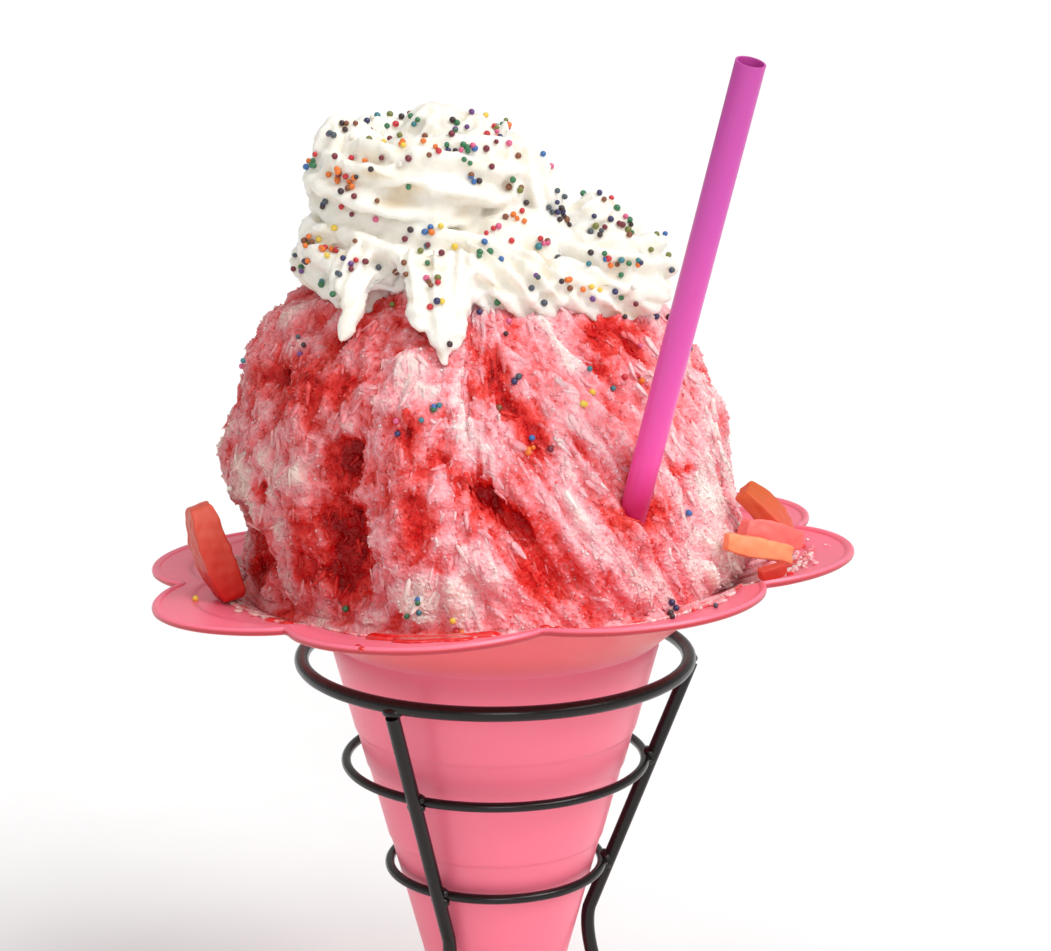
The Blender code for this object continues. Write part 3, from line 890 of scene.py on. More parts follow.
def chip(cuts, rings, taper):
    """A sliver of ice to copy: a pointed lump of unit half-length, thinner towards one end."""
    bpy.ops.mesh.primitive_uv_sphere_add(segments=cuts, ring_count=rings, radius=1.0)
    sliver = bpy.context.object
    bpy.ops.object.mode_set(mode="EDIT")
    bpy.ops.mesh.quads_convert_to_tris()
    bpy.ops.transform.rotate(value=math.pi / 2, orient_axis="Y", center_override=(0, 0, 0))
    bpy.ops.object.mode_set(mode="OBJECT")
    for vert in sliver.data.vertices:
        thin = 1 - taper * (vert.co.x + 1) / 2
        vert.co.y *= thin
        vert.co.z *= thin
        vert.co.z += 0.25 * vert.co.x * vert.co.x
    return taken(sliver)


def scattered(name, shape, spots, ups, runs, sizes, material):
    """Copies of one small shape joined in a piece. Each is turned to its run and its up direction."""
    corners, faces = shape
    runs = runs - ups * (runs * ups).sum(1, keepdims=True)
    runs /= np.linalg.norm(runs, axis=1, keepdims=True)
    sides = np.cross(ups, runs)
    places = spots[:, None, :]
    for axis, direction in enumerate((runs, sides, ups)):
        places = places + corners[None, :, axis, None] * sizes[:, None, axis, None] * direction[:, None, :]
    shifts = np.arange(len(spots))[:, None, None] * len(corners)
    mesh = bpy.data.meshes.new(name)
    mesh.from_pydata(
        places.reshape(-1, 3).tolist(), [], (faces[None] + shifts).reshape(-1, 3).tolist()
    )
    return settle(added(name, mesh), name, material)


def soak(piece, values):
    """Note the syrup that each copy in a scattered piece holds."""
    add_value(piece, "syrup", np.repeat(values, len(piece.data.vertices) // len(values)))


ice_places = rows(vert.co for vert in ice.data.vertices)
ice_ups = rows(vert.normal for vert in ice.data.vertices)
ice_syrup = np.array(syrup)
ice_heights = (ice_places[:, 2] - TOP_LEVEL) / MM
open_ice = np.where((ice_heights > FLAKES_FROM) & (ice_heights < FLAKES_TO))[0]


def on_ice(count):
    """Random spots on the open ice, with their outward directions and syrup."""
    radii = np.hypot(ice_places[open_ice, 0], ice_places[open_ice, 1])
    chosen = chance.choice(open_ice, size=count, p=radii / radii.sum())
    return ice_places[chosen], ice_ups[chosen], ice_syrup[chosen]


def layer_runs(spots, loose):
    """Direction down each layer at the spots, off by up to a share of loose."""
    azimuths = np.degrees(np.arctan2(spots[:, 0], -spots[:, 1]))
    slants = np.radians([slant_at(azimuth) for azimuth in azimuths])
    angles = np.radians(azimuths)
    rightwards = np.stack([np.cos(angles), np.sin(angles), np.zeros(len(angles))], 1)
    down = np.array([0.0, 0.0, -1.0])
    runs = rightwards * np.sin(slants)[:, None] + down * np.cos(slants)[:, None]
    return runs + chance.normal(0, loose, runs.shape)


FLAKE_ICE = soaked_ice("flake_ice", 0.36, 0.2 * MM)
spots, ups, soaks = on_ice(FLAKES)
runs = layer_runs(spots, 0.32)
ups = ups + chance.normal(0, 0.12, (FLAKES, 3))
ups /= np.linalg.norm(ups, axis=1, keepdims=True)
lengths = np.clip(chance.lognormal(0.0, 0.5, FLAKES), 0.4, 2.6) * 1.05 * MM
sizes = np.stack(
    [lengths, lengths * chance.uniform(0.25, 0.5, FLAKES), lengths * chance.uniform(0.16, 0.28, FLAKES)], 1
)
flakes = scattered("ice_flakes", chip(6, 4, 0.6), spots - ups * 0.10 * MM, ups, runs, sizes, FLAKE_ICE)
soak(flakes, soaks - 0.04 + chance.normal(0, 0.07, FLAKES))
only(flakes)
bpy.ops.object.shade_smooth()
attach(flakes, "root")

spots, ups, soaks = on_ice(GRAINS)
sizes = chance.uniform(0.2, 0.46, (GRAINS, 3)) * MM
runs = chance.normal(0, 1, (GRAINS, 3))
grains = scattered("ice_grains", chip(4, 2, 0.0), spots, ups, runs, sizes, FLAKE_ICE)
soak(grains, soaks - 0.03 + chance.normal(0, 0.08, GRAINS))
only(grains)
bpy.ops.object.shade_smooth()
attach(grains, "root")

# ---- Crumbs on the flare ----
# Ice that slid off the heap: slush packed against its foot all round, and wet crumbs that lie
# further out on the petals at the right, where the heap slid furthest.
CRUMBS = 3300
SLID_CRUMBS = 0.13
CRUMB_LIFT = 0.2 * MM
CRUMB_HEIGHT = 0.55 * MM


def flare_top(azimuth, share, lift=0.0):
    """A place on the cup's upper side, and the direction that is up there."""
    def at(azimuth, share):
        r, z = flare_point(share, CUP_WALL + lift)
        return drawn_to_petals(polar(r, azimuth, z))

    place = at(azimuth, share)
    along = at(azimuth, share + 0.01) - place
    around = at(azimuth + 1.0, share) - place
    up = around.cross(along).normalized()
    return place, up if up.z > 0 else -up


crumb_spots = []
crumb_ups = []
for _ in range(CRUMBS):
    azimuth = chance.uniform(-180, 180)
    reach = abs(chance.normal(0, 0.045))
    if chance.random() < SLID_CRUMBS:
        azimuth, reach = chance.normal(68, 11), 0.12 + abs(chance.normal(0, 0.08))
    spot, up = flare_top(azimuth, min(0.95, ICE_FOOT_SHARE + reach), CRUMB_LIFT)
    crumb_spots.append(spot)
    crumb_ups.append(up)
lengths = np.minimum(chance.lognormal(0.1, 0.5, (CRUMBS, 1)), 2.4)
sizes = lengths * chance.uniform(0.3, 0.6, (CRUMBS, 3)) * MM
sizes[:, 2] = np.minimum(sizes[:, 2], CRUMB_HEIGHT)
runs = chance.normal(0, 1, (CRUMBS, 3))
crumbs = scattered(
    "ice_crumbs", chip(6, 4, 0.2), rows(crumb_spots), rows(crumb_ups), runs, sizes, FLAKE_ICE
)
soak(crumbs, 0.26 + chance.normal(0, 0.15, CRUMBS))
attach(crumbs, "root")

# ---- Syrup ----
# Thick red syrup that ran out of the heap: a pool on the front of the flare, runs beside it,
# and a bead that crept over the lip.
SYRUP_LIFT = 0.1 * MM
# Each spot has an azimuth, its share of the way out to the rim, and a radius and thickness in mm.
SYRUP_SPOTS = (
    *[(-20.5 + 1.4 * i, 0.76, 2.1 + 0.5 * math.sin(i * 0.9), 1.35) for i in range(15)],
    *[(-15.0 + 1.6 * i, 0.83, 2.0 + 0.4 * math.sin(i * 1.3), 0.6) for i in range(7)],
    (-12, 0.66, 3.4, 1.2),
    (-6, 0.66, 3.0, 1.2),
    (9, 0.80, 1.3, 0.9),
    (11, 0.80, 1.1, 0.7),
    (-20, 0.99, 1.0, 0.6),
    (-19, 1.01, 0.8, 0.6),
    (-46, 0.60, 2.0, 0.7),
    (-50, 0.60, 2.4, 0.7),
    (62, 0.70, 2.2, 0.7),
    (74, 0.72, 2.4, 0.9),
    (77, 0.74, 1.8, 0.8),
    (118, 0.64, 3.0, 0.8),
    (124, 0.70, 2.0, 0.6),
    (-150, 0.64, 2.8, 0.8),
)


def knitted(parts, name, material, voxel, smoothing):
    """Touching parts grown into one skin, with their creases softened."""
    body = settle(joined(parts), name, material)
    knit = body.modifiers.new("knit", "REMESH")
    knit.mode = "VOXEL"
    knit.voxel_size = voxel
    soften = body.modifiers.new("soften", "SMOOTH")
    soften.factor = 0.5
    soften.iterations = smoothing
    only(body)
    for modifier in ("knit", "soften"):
        bpy.ops.object.modifier_apply(modifier=modifier)
    bpy.ops.object.shade_smooth()
    return body


def flat_drop(centre, up, radius, thickness):
    """A drop lying on a slope."""
    bpy.ops.mesh.primitive_uv_sphere_add(segments=24, ring_count=12, radius=1.0)
    drop = bpy.context.object
    drop.scale = (radius, radius, thickness)
    drop.rotation_mode = "QUATERNION"
    drop.rotation_quaternion = Vector((0, 0, 1)).rotation_difference(up)
    drop.location = centre
    return fixed(drop)


def red_syrup():
    """Clear thick syrup, deep red and glossy."""
    material, shader, place = start_material(
        "red_syrup",
        {
            **glow_through(0.2, (1.0, 0.1, 0.08), 1.5),
            "Coat Weight": 0.8,
            "Coat Roughness": 0.04,
            "IOR": 1.45,
        },
    )
    depth = cloud(place, 300, 3.0)
    feed(
        shader,
        Base_Color=mixed(depth, paint(238, 26, 22), paint(196, 8, 12)),
        Roughness=0.10 + 0.10 * depth,
        Normal=bumped(depth, 0.15 * MM, 0.4),
    )
    return material


SYRUP = red_syrup()
drops = []
for azimuth, share, radius, thickness in SYRUP_SPOTS:
    spot, up = flare_top(azimuth, share, SYRUP_LIFT)
    drops.append(flat_drop(spot, up, radius * MM, thickness * MM))
syrup_pool = knitted(drops, "syrup_pool", SYRUP, voxel=0.24 * MM, smoothing=12)
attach(syrup_pool, "root")

# ---- Whipped cream ----
# Cream piped through a star nozzle in ridged turns: a tall mound at the left with a knob and a
# peak, a lower one at the right, and tongues that slid down over the ice.
NOZZLE_RIDGES = 8
NOZZLE_DEPTH = 0.21
LEFT_MOUND = (-14.5, -2.0)
RIGHT_MOUND = (19.0, -8.0)


def above_ring(x, y, z):
    """A place given in mm, with its height taken over the top ring."""
    return Vector((x, y, z)) * MM + Vector((0, 0, TOP_LEVEL))


def star_profile():
    """Cross-section that the nozzle leaves, of unit radius."""
    bpy.ops.curve.primitive_nurbs_circle_add(radius=1.0)
    profile = bpy.context.object
    curve = profile.data
    curve.splines.clear()
    spline = curve.splines.new("POLY")
    count = NOZZLE_RIDGES * 6
    spline.points.add(count - 1)
    for i in range(count):
        angle = 2 * math.pi * i / count
        reach = 1 + NOZZLE_DEPTH * math.cos(NOZZLE_RIDGES * angle)
        spline.points[i].co = (reach * math.cos(angle), reach * math.sin(angle), 0, 1)
    spline.use_cyclic_u = True
    return profile


nozzle = star_profile()


def piped(points, radii, twist):
    """A ridged rope along a path, turned about itself by twist from end to end."""
    curve = bpy.data.curves.new("rope", "CURVE")
    curve.dimensions = "3D"
    curve.bevel_mode = "OBJECT"
    curve.bevel_object = nozzle
    curve.use_fill_caps = True
    spline = curve.splines.new("POLY")
    spline.points.add(len(points) - 1)
    for i, (place, radius) in enumerate(zip(points, radii)):
        spline.points[i].co = (*place, 1.0)
        spline.points[i].radius = radius
        spline.points[i].tilt = twist * i / len(points)
    only(added("rope", curve))
    bpy.ops.object.convert(target="MESH")
    rope = bpy.context.object
    pick(rope, lambda co: False)
    close_edit()
    return rope


def coil(mound, reach_x, reach_y, z_start, z_end, radius, start, turns, shrink):
    """Path and radii of a piped turn that climbs and draws in, in mm over the top ring."""
    count = int(40 * turns)
    points = []
    radii = []
    for i in range(count + 1):
        t = i / count
        angle = math.radians(start) + 2 * math.pi * turns * t
        draw = 1 - shrink * t
        x = mound[0] + reach_x * draw * math.sin(angle)
        y = mound[1] - reach_y * draw * math.cos(angle)
        points.append(above_ring(x, y, z_start + (z_end - z_start) * t))
        ends = min(1.0, 0.55 + 3.0 * min(t, 1 - t))
        radii.append(radius * MM * ends * (1 - 0.25 * shrink * t))
    return points, radii


def tongue(start, end, first_radius, last_radius, sag=0.0):
    """Path and radii of a peak or a drip, drawn from start to a rounded end, bowed forward by sag."""
    count = 20
    points = []
    radii = []
    for i in range(count + 1):
        t = i / count
        place = above_ring(*start).lerp(above_ring(*end), t)
        place.y -= sag * MM * math.sin(math.pi * t)
        points.append(place)
        tip = max(0.1, 1 - t**6) ** 0.5
        radii.append((first_radius + (last_radius - first_radius) * t) * tip * MM)
    return points, radii


# Each rope or peak has its path and radii, and how far it turns about itself on the way, in radians.
PIPED = (
    (coil((-13.0, -2.0), 17.4, 19, 84.5, 79.5, 9.0, 200, 1.15, 0.1), 5.0),
    (coil(LEFT_MOUND, 16.5, 16.5, 97.5, 103, 8.4, 250, 1.2, 0.35), 6.0),
    (coil(RIGHT_MOUND, 10.5, 11, 78, 83, 8.2, 120, 1.3, 0.3), 5.0),
    (tongue((-26, -6, 96), (-31.8, -6, 111.6), 8.6, 4.8), 2.0),
    (tongue((-31, -6, 100), (-35.5, -8, 103), 6.0, 4.5), 1.0),
    (tongue((-11, -1, 100), (-12.2, -1, 113.8), 8.4, 5.6), 2.0),
    (tongue((-6, -2, 100), (-3.8, -3, 112.6), 7.0, 4.6), 1.0),
    (tongue((18, -7, 83), (22, -6, 96.3), 8.8, 5.0), 2.0),
    (tongue((24, -8, 83), (32, -8, 80), 6.8, 5.0), 1.4),
    (tongue((-3, -6, 101), (13, -9, 92), 9.4, 6.0), 3.0),
    (tongue((-6, -27, 82), (15, -25, 79), 6.6, 6.4), 3.0),
    (tongue((12, -24, 79), (34, -14, 78), 6.2, 5.0), 3.0),
    (tongue((-31, -12, 88), (-35.6, -14, 82.5), 6.6, 4.8), 1.4),
    (tongue((-25.5, -22, 85), (-28.5, -33, 77.5), 5.0, 2.4), 0.8),
    (tongue((-24, -27, 82), (-29, -37, 71.5), 2.7, 1.2, 1.0), 0.8),
    (tongue((-16.0, -28, 86), (-13.6, -40.5, 74), 2.9, 1.5, 2.0), 0.5),
    (tongue((-11.5, -28, 86), (-9.4, -42.5, 68.5), 3.2, 1.6, 2.4), 0.5),
    (tongue((-6.0, -28, 86), (-7.2, -41, 71), 2.9, 1.4, 2.0), 0.5),
)
# The solid middle of each mound: its centre over the top ring and its half-sizes, in mm.
CORES = (
    ((-14.5, -1, 87), (20, 17, 13)),
    ((-13, 0, 101), (14, 12, 8)),
    ((19, -8, 80), (13, 14, 10)),
    ((3, -7, 84), (14, 19, 12)),
)


def whipped():
    """Aerated cream: soft, slightly satin, with fine air pits, a faintly yellow depth, and painted tan
    shade deep in its folds.
    """
    material, shader, place = start_material(
        "whipped_cream",
        {
            **glow_through(0.5, (1.0, 0.85, 0.65), 3.0),
            "IOR": 1.4,
            "Specular IOR Level": 0.4,
        },
    )
    folds = cloud(place, 120, 4.0)
    pits = cells(place, 1300.0)
    # Painted shade: the folds are coloured tan where shade falls in them.
    crease = stored(place, "crease")
    body = mixed(folds, paint(236, 230, 214), paint(247, 245, 240))
    feed(
        shader,
        Base_Color=mixed(crease, body, paint(220, 197, 158)),
        Roughness=0.42 + 0.15 * folds,
        Normal=bumped(pits * 0.6 + folds * 1.4, 0.22 * MM, 0.5),
    )
    return material


CREAM = whipped()
parts = [piped(points, radii, twist) for (points, radii), twist in PIPED]
for centre, halves in CORES:
    bpy.ops.mesh.primitive_ico_sphere_add(subdivisions=4, radius=1.0, location=above_ring(*centre))
    core = bpy.context.object
    core.scale = [half * MM for half in halves]
    parts.append(fixed(core))
bpy.data.objects.remove(nozzle)
cream = knitted(parts, "whipped_cream_swirls", CREAM, voxel=0.56 * MM, smoothing=3)

# Between two tongues the skin is drawn back, so that they hang apart.
NOTCH = above_ring(-18.5, -28.5, 78)
NOTCH_DEPTH = 5.5
NOTCH_REACH = 4.8 * MM
# Vector noise would otherwise start from the clock and differ from run to run.
noise.seed_set(20)
painted_fold_shade = []


def folded(place, up):
    """Soft folds and small wrinkles in the piped skin; how deep in a fold each place lies is noted for the
    painted shade there.
    """
    warp = place + 2.5 * MM * noise.noise_vector(place / (9 * MM))
    fold = 1 - abs(noise.noise(Vector((warp.x / 7, warp.y / 7, warp.z / 4.5)) / MM)) * 2.4
    ruffle = 1 - abs(noise.noise(Vector((warp.x / 3.4, warp.y / 3.4, warp.z / 2.4)) / MM)) * 2.4
    # Painted shade, deepest in the folds.
    painted_fold_shade.append(0.6 * smooth_step((0.2 - fold) / 1.0))
    notch = NOTCH_DEPTH * math.exp(-(((place - NOTCH).length / NOTCH_REACH) ** 2))
    return place + up * MM * (0.72 * fold + 0.24 * ruffle - 0.38 - notch)


reshape(cream, folded)
add_value(cream, "crease", painted_fold_shade)
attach(cream, "root")
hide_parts("whipped_cream")

# ---- Nonpareils ----
# Tiny round sugar beads in mixed colours, thrown over the cream so that they lie in drifts,
# with a few that rolled down the ice and onto the petals.
BEAD_COLORS = {
    "dark": paint(52, 26, 34),
    "maroon": paint(120, 22, 44),
    "red": paint(206, 34, 48),
    "orange": paint(238, 120, 26),
    "yellow": paint(240, 206, 70),
    "green": paint(44, 120, 76),
    "olive": paint(120, 124, 50),
    "teal": paint(46, 128, 140),
    "blue": paint(52, 108, 176),
    "navy": paint(42, 44, 96),
    "purple": paint(112, 62, 140),
    "pink": paint(222, 96, 140),
    "slate": paint(70, 82, 92),
    "brown": paint(132, 74, 40),
    "white": paint(240, 236, 226),
}
MIXED = tuple(BEAD_COLORS)
RED = ("maroon", "red", "brown", "pink")
SUN = ("orange", "yellow", "orange", "red")
EMBER = ("orange", "maroon", "dark", "brown", "red", "orange")
COOL = ("teal", "green", "blue", "green")
NIGHT = ("dark", "navy", "slate", "purple")
DEEP = ("brown", "olive", "maroon", "dark", "green")
# Where a drift of beads lies as it is met from the front: across and over the top ring in mm,
# its spread in mm, how many, and in which colours.
DRIFTS = (
    (-35, 103, 0.9, 3, COOL),
    (-34, 106, 0.4, 1, RED),
    (-31, 109, 0.6, 2, NIGHT),
    (-28, 111, 0.6, 2, DEEP),
    (-30, 106, 0.6, 1, DEEP),
    (-28, 101, 1.9, 13, EMBER),
    (-33, 96, 0.6, 2, NIGHT),
    (-15, 113, 1.1, 2, COOL),
    (-5, 111, 0.6, 1, NIGHT),
    (-18, 108, 0.6, 2, SUN),
    (-12, 107, 1.3, 4, EMBER),
    (-8, 106, 1.1, 4, MIXED),
    (-5, 107, 1.3, 4, COOL),
    (0, 106, 2.1, 7, RED),
    (-19, 105, 1.9, 3, MIXED),
    (-4, 102, 0.6, 1, COOL),
    (-16, 99, 0.4, 1, COOL),
    (-3, 97, 3, 2, MIXED),
    (-25, 94, 3, 2, RED),
    (-12, 91, 0.9, 2, MIXED),
    (0, 91, 0.4, 1, RED),
    (-20, 89, 3.8, 4, MIXED),
    (-13, 88, 1.9, 2, MIXED),
    (-2, 86, 1.7, 4, COOL),
    (-28, 87, 2.6, 2, RED),
    (-34, 88, 1.5, 8, SUN),
    (-36, 88, 0.9, 2, DEEP),
    (-39, 83, 0.9, 2, DEEP),
    (-36, 84, 0.9, 2, NIGHT),
    (-29, 84, 1.1, 3, NIGHT),
    (-33, 79, 1.3, 2, COOL),
    (-23, 83, 0.6, 1, NIGHT),
    (-17, 83, 1.3, 2, RED),
    (-12, 84, 1.5, 3, DEEP),
    (-12, 81, 1.1, 3, RED),
    (-11, 76, 0.9, 2, MIXED),
    (-20, 76, 0.6, 1, DEEP),
    (-3, 76, 0.9, 1, MIXED),
    (4, 99, 1.1, 2, DEEP),
    (12, 95, 1.9, 9, NIGHT),
    (6, 94, 1.1, 3, SUN),
    (1, 92, 1.1, 2, RED),
    (12, 89, 2.1, 2, RED),
    (18, 92, 1.9, 5, NIGHT),
    (25, 91, 1.3, 5, DEEP),
    (29, 86, 1.5, 4, MIXED),
    (22, 84, 1.7, 4, MIXED),
    (26, 83, 1.7, 2, COOL),
    (34, 82, 0.9, 2, NIGHT),
    (8, 80, 1.9, 2, NIGHT),
    (13, 80, 0.9, 3, EMBER),
    (18, 79, 1.3, 3, MIXED),
    (1, 78, 0.6, 1, COOL),
    (9, 77, 0.6, 1, NIGHT),
    (25, 78, 1.7, 3, MIXED),
    (33, 75, 0.9, 2, NIGHT),
    (1, 73, 0.6, 1, RED),
    (7, 90, 4.3, 4, MIXED),
    (20, 96, 1.9, 3, DEEP),
    (-7, 111, 2.1, 3, MIXED),
    (-11, 56, 0.6, 2, COOL),
    (7, 47, 0.9, 3, SUN),
    (19, 58, 0.9, 2, SUN),
    (28, 62, 0.9, 2, SUN),
    (23, 61, 0.6, 1, COOL),
    (4, 62, 0.9, 2, NIGHT),
    (38, 35, 0.6, 1, COOL),
    (-37, 69, 1.1, 2, NIGHT),
    (11, 59, 6.4, 4, MIXED),
    (-18, 62, 8.5, 3, MIXED),
    (24, 71, 5.3, 3, MIXED),
    (43, 15, 0.6, 1, NIGHT),
    (34, 15, 1.7, 3, NIGHT),
    (-29, 16, 0.9, 1, COOL),
    (-7, 11, 1.1, 3, SUN),
    (-15, 16, 2.1, 3, COOL),
    (-58, 16, 1.1, 1, MIXED),
)
DRIFT_FILL = 1.35
ON_CREAM = 420
DOWN_BACK = 26
ON_PETALS = 18
BEAD_R = 0.70 * MM
THROWN_FROM = Vector((0, -0.48, 0.2475))


def front_spot(tree, across, height):
    """Where a bead thrown from the front lands on a skin, with the direction that is out there."""
    aim = Vector((across * MM, -0.02, TOP_LEVEL + height * MM))
    spot, up, _, _ = tree.ray_cast(THROWN_FROM, (aim - THROWN_FROM).normalized())
    return spot, up


def skin_tree(obj):
    """A piece's skin, ready to be met by a falling bead."""
    return BVHTree.FromPolygons(
        [vert.co for vert in obj.data.vertices], [face.vertices[:] for face in obj.data.polygons]
    )


cream_tree, ice_tree, cup_tree = [skin_tree(obj) for obj in (cream, ice, cup)]
bead_spots = []
bead_ups = []
bead_hues = []


def add_bead(spot, up, hue, sink=0.35):
    """Lay a bead on a spot, sunk in by a share of its radius."""
    bead_spots.append(spot + up * BEAD_R * (1 - sink))
    bead_ups.append(up)
    bead_hues.append(BEAD_COLORS[hue])


for across, height, spread, count, hues in DRIFTS:
    for _ in range(round(DRIFT_FILL * count)):
        x, z = chance.normal(across, spread), chance.normal(height, spread)
        landed = [front_spot(tree, x, z) for tree in (cream_tree, ice_tree, cup_tree)]
        landed = [found for found in landed if found[0] is not None]
        if landed:
            spot, up = min(landed, key=lambda found: (found[0] - THROWN_FROM).length)
            add_bead(spot, up, hues[chance.integers(len(hues))])
for _ in range(ON_CREAM):
    start = above_ring(chance.uniform(-46, 36), chance.uniform(-40, 34), 140)
    spot, up, _, _ = cream_tree.ray_cast(start, Vector((0, 0, -1)))
    if spot is not None and start.y > -12 * MM:
        add_bead(spot, up, MIXED[chance.integers(len(MIXED))])
for _ in range(DOWN_BACK):
    azimuth, z = chance.uniform(70, 290), chance.uniform(128, 180) * MM
    spot, up, _, _ = ice_tree.ray_cast(polar(0.12, azimuth, z), polar(-1.0, azimuth, 0.0))
    add_bead(spot, up, MIXED[chance.integers(len(MIXED))], 0.2)
for _ in range(ON_PETALS):
    spot, up = flare_top(chance.uniform(70, 290), chance.uniform(0.62, 0.95))
    add_bead(spot, up, MIXED[chance.integers(len(MIXED))], 0.0)


def sugar_coat():
    """Polished sugar beads, each in its own colour."""
    material, shader, place = start_material(
        "sugar_beads",
        {
            "Coat Weight": 0.4,
            "Coat Roughness": 0.15,
            "Subsurface Weight": 0.1,
            "Subsurface Scale": 0.5 * MM,
        },
    )
    hue = stored(place, "hue", "Color")
    speckle = cloud(place, 2400, 2.0)
    grey = speckle.node("ShaderNodeCombineColor", {}, {0: speckle, 1: speckle, 2: speckle})
    shade = hue.node(
        "ShaderNodeMix", {"data_type": "RGBA", "blend_type": "MULTIPLY"}, {0: 0.5, 6: hue, 7: grey}, 2
    )
    feed(
        shader,
        Base_Color=shade.node("ShaderNodeMix", {"data_type": "RGBA"}, {0: 0.35, 6: hue, 7: shade}, 2),
        Roughness=0.25 + 0.25 * speckle,
        Normal=bumped(speckle, 0.06 * MM, 0.5),
    )
    return material


SUGAR = sugar_coat()
bpy.ops.mesh.primitive_ico_sphere_add(subdivisions=2, radius=1.0)
ball = taken(bpy.context.object)
count = len(bead_spots)
radii = chance.uniform(0.50, 0.70, (count, 1)) * MM * chance.uniform(0.94, 1.06, (count, 3))
runs = chance.normal(0, 1, (count, 3))
nonpareils = scattered("nonpareils", ball, rows(bead_spots), rows(bead_ups), runs, radii, SUGAR)
layer = nonpareils.data.color_attributes.new("hue", "FLOAT_COLOR", "POINT")
hues = np.repeat(np.array([(*hue, 1.0) for hue in bead_hues]), len(ball[0]), axis=0)
layer.data.foreach_set("color", hues.astype(np.float32).ravel())
only(nonpareils)
bpy.ops.object.shade_smooth()
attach(nonpareils, "root")

# ---- Straw ----
# A drinking straw: a thin-walled tube of magenta plastic, extruded and cut square at both ends.
# It is pushed down slantwise into the front of the heap.
STRAW_TOP = Vector((43.5, -70.0, 229.9)) * MM
STRAW_TIP = Vector((21.1, -35.0, 122.0)) * MM
STRAW_R = 2.7 * MM
STRAW_WALL = 0.4 * MM
STRAW_EDGE = 0.09 * MM


def magenta_plastic():
    """Satin tube with fine draw lines, painted with light and shade along it: darker low in the heap,
    bright pink where the ice shines into it, and purple towards the top.
    """
    material, shader, place = start_material(
        "straw_plastic",
        {**glow_through(0.2, (1.0, 0.4, 0.7), 1.0), "Coat Weight": 0.2, "Coat Roughness": 0.2},
    )
    # Painted light and shade along the tube, from its foot in the ice to its top.
    rise = share_between(place, "Z", STRAW_TIP.z, STRAW_TOP.z)
    haze = cloud(place, 60, 2.0)
    lines = cloud(place, 1500, 2.0)
    along = rise + (haze - 0.5) * 0.06
    stops = [
        (0.0, paint(184, 20, 84)), (0.22, paint(190, 24, 90)), (0.32, paint(246, 76, 170)),
        (0.50, paint(226, 74, 172)), (0.75, paint(204, 70, 170)), (1.0, paint(192, 66, 160)),
    ]
    feed(
        shader,
        Base_Color=fading(along, stops),
        Roughness=0.28 + 0.12 * haze,
        Normal=bumped(lines * 0.2 + haze, 0.15 * MM, 0.3),
    )
    return material


bpy.ops.mesh.primitive_cylinder_add(
    vertices=64, radius=STRAW_R, depth=(STRAW_TOP - STRAW_TIP).length, end_fill_type="NOTHING"
)
straw = bpy.context.object
bpy.ops.object.mode_set(mode="EDIT")
bpy.ops.mesh.select_all(action="SELECT")
bpy.ops.mesh.subdivide(number_cuts=1)
bpy.ops.object.mode_set(mode="OBJECT")
straw.rotation_mode = "QUATERNION"
straw.rotation_quaternion = Vector((0, 0, 1)).rotation_difference(STRAW_TOP - STRAW_TIP)
straw.location = (STRAW_TOP + STRAW_TIP) / 2
straw = settle(straw, "drinking_straw", magenta_plastic())
wall = straw.modifiers.new("wall", "SOLIDIFY")
wall.thickness = STRAW_WALL
wall.offset = -1
bevel = straw.modifiers.new("cut_edge", "BEVEL")
bevel.width = STRAW_EDGE
bevel.segments = 2
bevel.limit_method = "ANGLE"
bevel.angle_limit = math.radians(60)
for modifier in ("wall", "cut_edge"):
    bpy.ops.object.modifier_apply(modifier=modifier)
bpy.ops.object.shade_smooth_by_angle(angle=math.radians(40))
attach(straw, "root")
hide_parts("straw")

# ---- Fruit jellies ----
# Soft strips cut from set fruit jelly, wet with syrup: one stands at the left, and a few lie
# over each other at the right.
def jelly_flesh(name, low_color, high_color, low_z, high_z):
    """Clear firm jelly, darker towards its foot where syrup soaked in."""
    material, shader, place = start_material(
        name,
        {**glow_through(0.3, (1.0, 0.3, 0.2), 2.0), "Specular IOR Level": 0.35},
    )
    rise = share_between(place, "Z", low_z, high_z)
    flesh = cloud(place, 260, 4.0)
    along = rise + (flesh - 0.5) * 0.5
    middle = tuple((low + high) / 2 for low, high in zip(low_color, high_color))
    stops = [(0.0, low_color), (0.45, middle), (1.0, high_color)]
    feed(
        shader,
        Base_Color=fading(along, stops),
        Roughness=0.34 + 0.2 * flesh,
        Normal=bumped(flesh, 0.15 * MM, 0.4),
    )
    return material


def jelly(name, foot, tip, width, thickness, bow, material):
    """A rounded strip from foot to tip, its broad side facing the heap, bowed outwards."""
    foot, tip = above_ring(*foot), above_ring(*tip)
    up = (tip - foot).normalized()
    outward = Vector((foot.x, foot.y, 0)).normalized()
    side = up.cross(outward).normalized()
    outward = side.cross(up).normalized()
    bpy.ops.mesh.primitive_cube_add(size=1.0)
    strip = bpy.context.object
    bpy.ops.object.mode_set(mode="EDIT")
    bpy.ops.mesh.select_all(action="SELECT")
    bpy.ops.mesh.subdivide(number_cuts=5)
    bpy.ops.object.mode_set(mode="OBJECT")

    def drawn(place, _):
        along = place.z + 0.5
        swell = 0.78 + 0.3 * math.sin(math.pi * min(1.0, along * 0.9 + 0.08))
        spot = foot.lerp(tip, along)
        spot += side * width * MM * place.x * swell
        spot += outward * (thickness * MM * place.y * swell + bow * MM * math.sin(math.pi * along))
        return spot + 0.7 * MM * noise.noise_vector(spot / (5 * MM))

    reshape(strip, drawn)
    strip = settle(strip, name, material)
    smooth = strip.modifiers.new("smooth", "SUBSURF")
    smooth.levels = 3
    smooth.render_levels = 3
    bpy.ops.object.modifier_apply(modifier="smooth")
    reshape(strip, lambda place, up: place + up * 0.25 * MM * noise.noise(place / (1.8 * MM)))
    bpy.ops.object.shade_smooth()
    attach(strip, "root")
    return strip


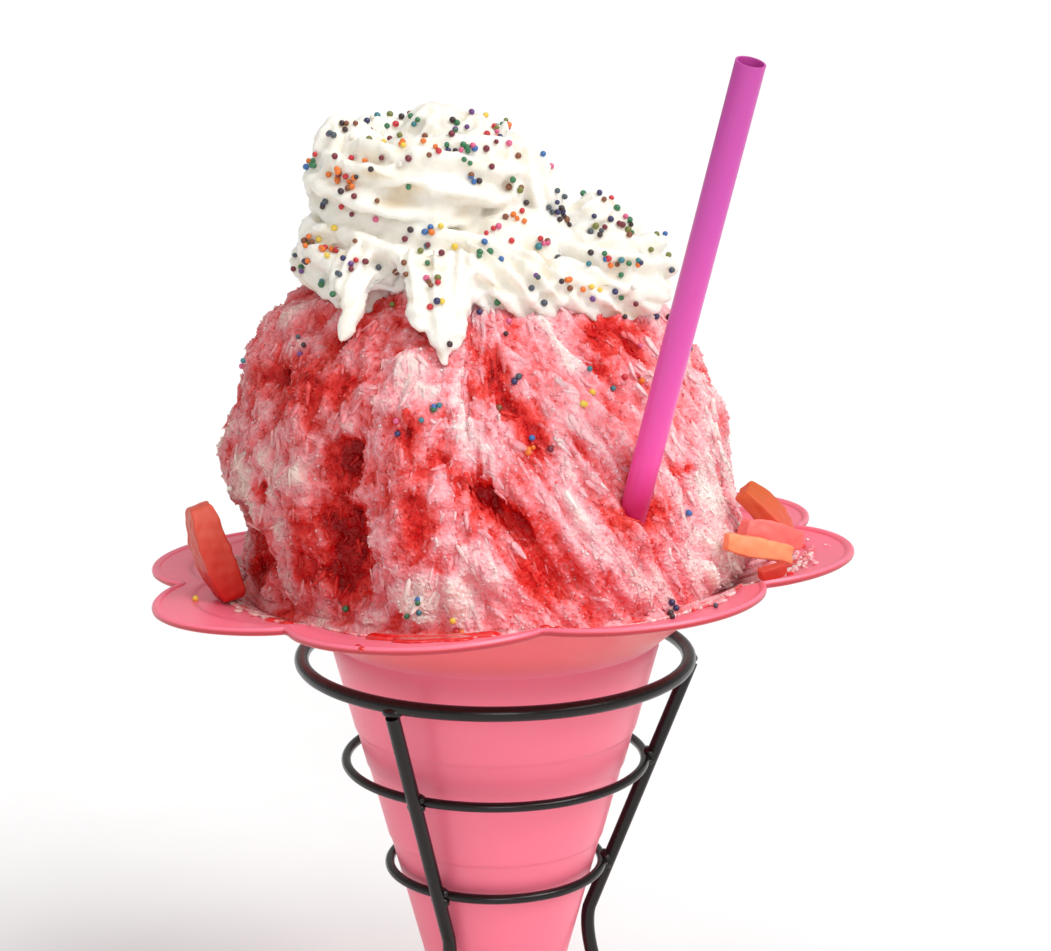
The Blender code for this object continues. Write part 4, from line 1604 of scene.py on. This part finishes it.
left_low, left_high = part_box("jelly_left")
ORANGE_RED = jelly_flesh(
    "orange_red_jelly", paint(190, 16, 16), paint(208, 84, 62), left_low.z, left_high.z - 3 * MM
)
left_jelly = jelly("jelly_strip_left", (-52.2, -21, 18.2), (-58.2, -20.5, 36.8), 8.0, 5.8, 0.8, ORANGE_RED)
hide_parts("jelly_left")
right_low, right_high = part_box("jelly_right")
CORAL = jelly_flesh("coral_jelly", paint(234, 96, 92), paint(204, 92, 40), right_low.z, right_high.z)
right_jelly = jelly("jelly_strip_right", (58.6, -18, 28.0), (49.0, -17.5, 39.2), 7.0, 4.0, 1.0, CORAL)
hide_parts("jelly_right")
PEACH = jelly_flesh("peach_jelly", paint(240, 128, 100), paint(246, 164, 106), 0.12, 0.15)
jelly("jelly_strip_peach", (44.6, -31.2, 31.8), (58.0, -27.0, 27.8), 3.8, 2.8, 0.8, PEACH)
ROSE = jelly_flesh("rose_jelly", paint(222, 74, 76), paint(242, 126, 118), 0.12, 0.145)
jelly("jelly_strip_rose", (48.4, -25.5, 33.0), (60.6, -20.5, 29.2), 4.4, 3.4, 0.8, ROSE)
jelly("jelly_bit_red", (50.6, -35.8, 26.4), (56.0, -33.2, 27.2), 2.6, 1.8, 0.2, ORANGE_RED)

# ---- Table top, light and camera ----
# A plain pale floor, and soft studio light that is strongest from the upper right.
# The camera stands in front of the cup and looks slightly down at it.
FLOOR_R = 40.0
SKY_STRENGTH = 0.46
CAMERA_PLACE = (0.0, -0.48019, 0.24749)
CAMERA_PITCH = 90 - 12.254
CAMERA_YAW = -0.749
CAMERA_LENS = 82.0


def pale_floor():
    """Matt and nearly white, with the faintest cloud in it."""
    material, shader, place = start_material("pale_floor", {"Specular IOR Level": 0.2})
    grain = cloud(place, 40, 3.0)
    feed(
        shader,
        Base_Color=mixed(grain, paint(248, 248, 248), paint(253, 253, 253)),
        Roughness=0.75 + 0.1 * grain,
    )
    return material


bpy.ops.mesh.primitive_circle_add(vertices=96, radius=FLOOR_R, fill_type="NGON")
floor = settle(bpy.context.object, "floor", pale_floor())

world = bpy.data.worlds.new("studio")
world.use_nodes = True
sky = world.node_tree.nodes["Background"]
sky.inputs["Color"].default_value = (1.0, 0.99, 0.98, 1.0)
sky.inputs["Strength"].default_value = SKY_STRENGTH
bpy.context.scene.world = world


def soft_light(name, azimuth, elevation, spread, strength):
    """A wide far light from a side, as even over the floor as over the dessert."""
    light = bpy.data.lights.new(name, "SUN")
    light.energy = strength
    light.angle = math.radians(spread)
    away = polar(math.cos(math.radians(elevation)), azimuth, math.sin(math.radians(elevation)))
    added(name, light).rotation_euler = (-away).to_track_quat("-Z", "Y").to_euler()


soft_light("key", azimuth=52, elevation=46, spread=35, strength=1.76)
soft_light("fill", azimuth=4, elevation=22, spread=22, strength=0.58)
soft_light("top", azimuth=0, elevation=80, spread=60, strength=0.54)

camera = bpy.data.cameras.new("camera")
camera.lens = CAMERA_LENS
camera.sensor_width = 36
view = added("camera", camera)
view.location = CAMERA_PLACE
view.rotation_euler = (math.radians(CAMERA_PITCH), 0.0, math.radians(CAMERA_YAW))
bpy.context.scene.camera = view
bpy.context.scene.view_settings.view_transform = "Standard"
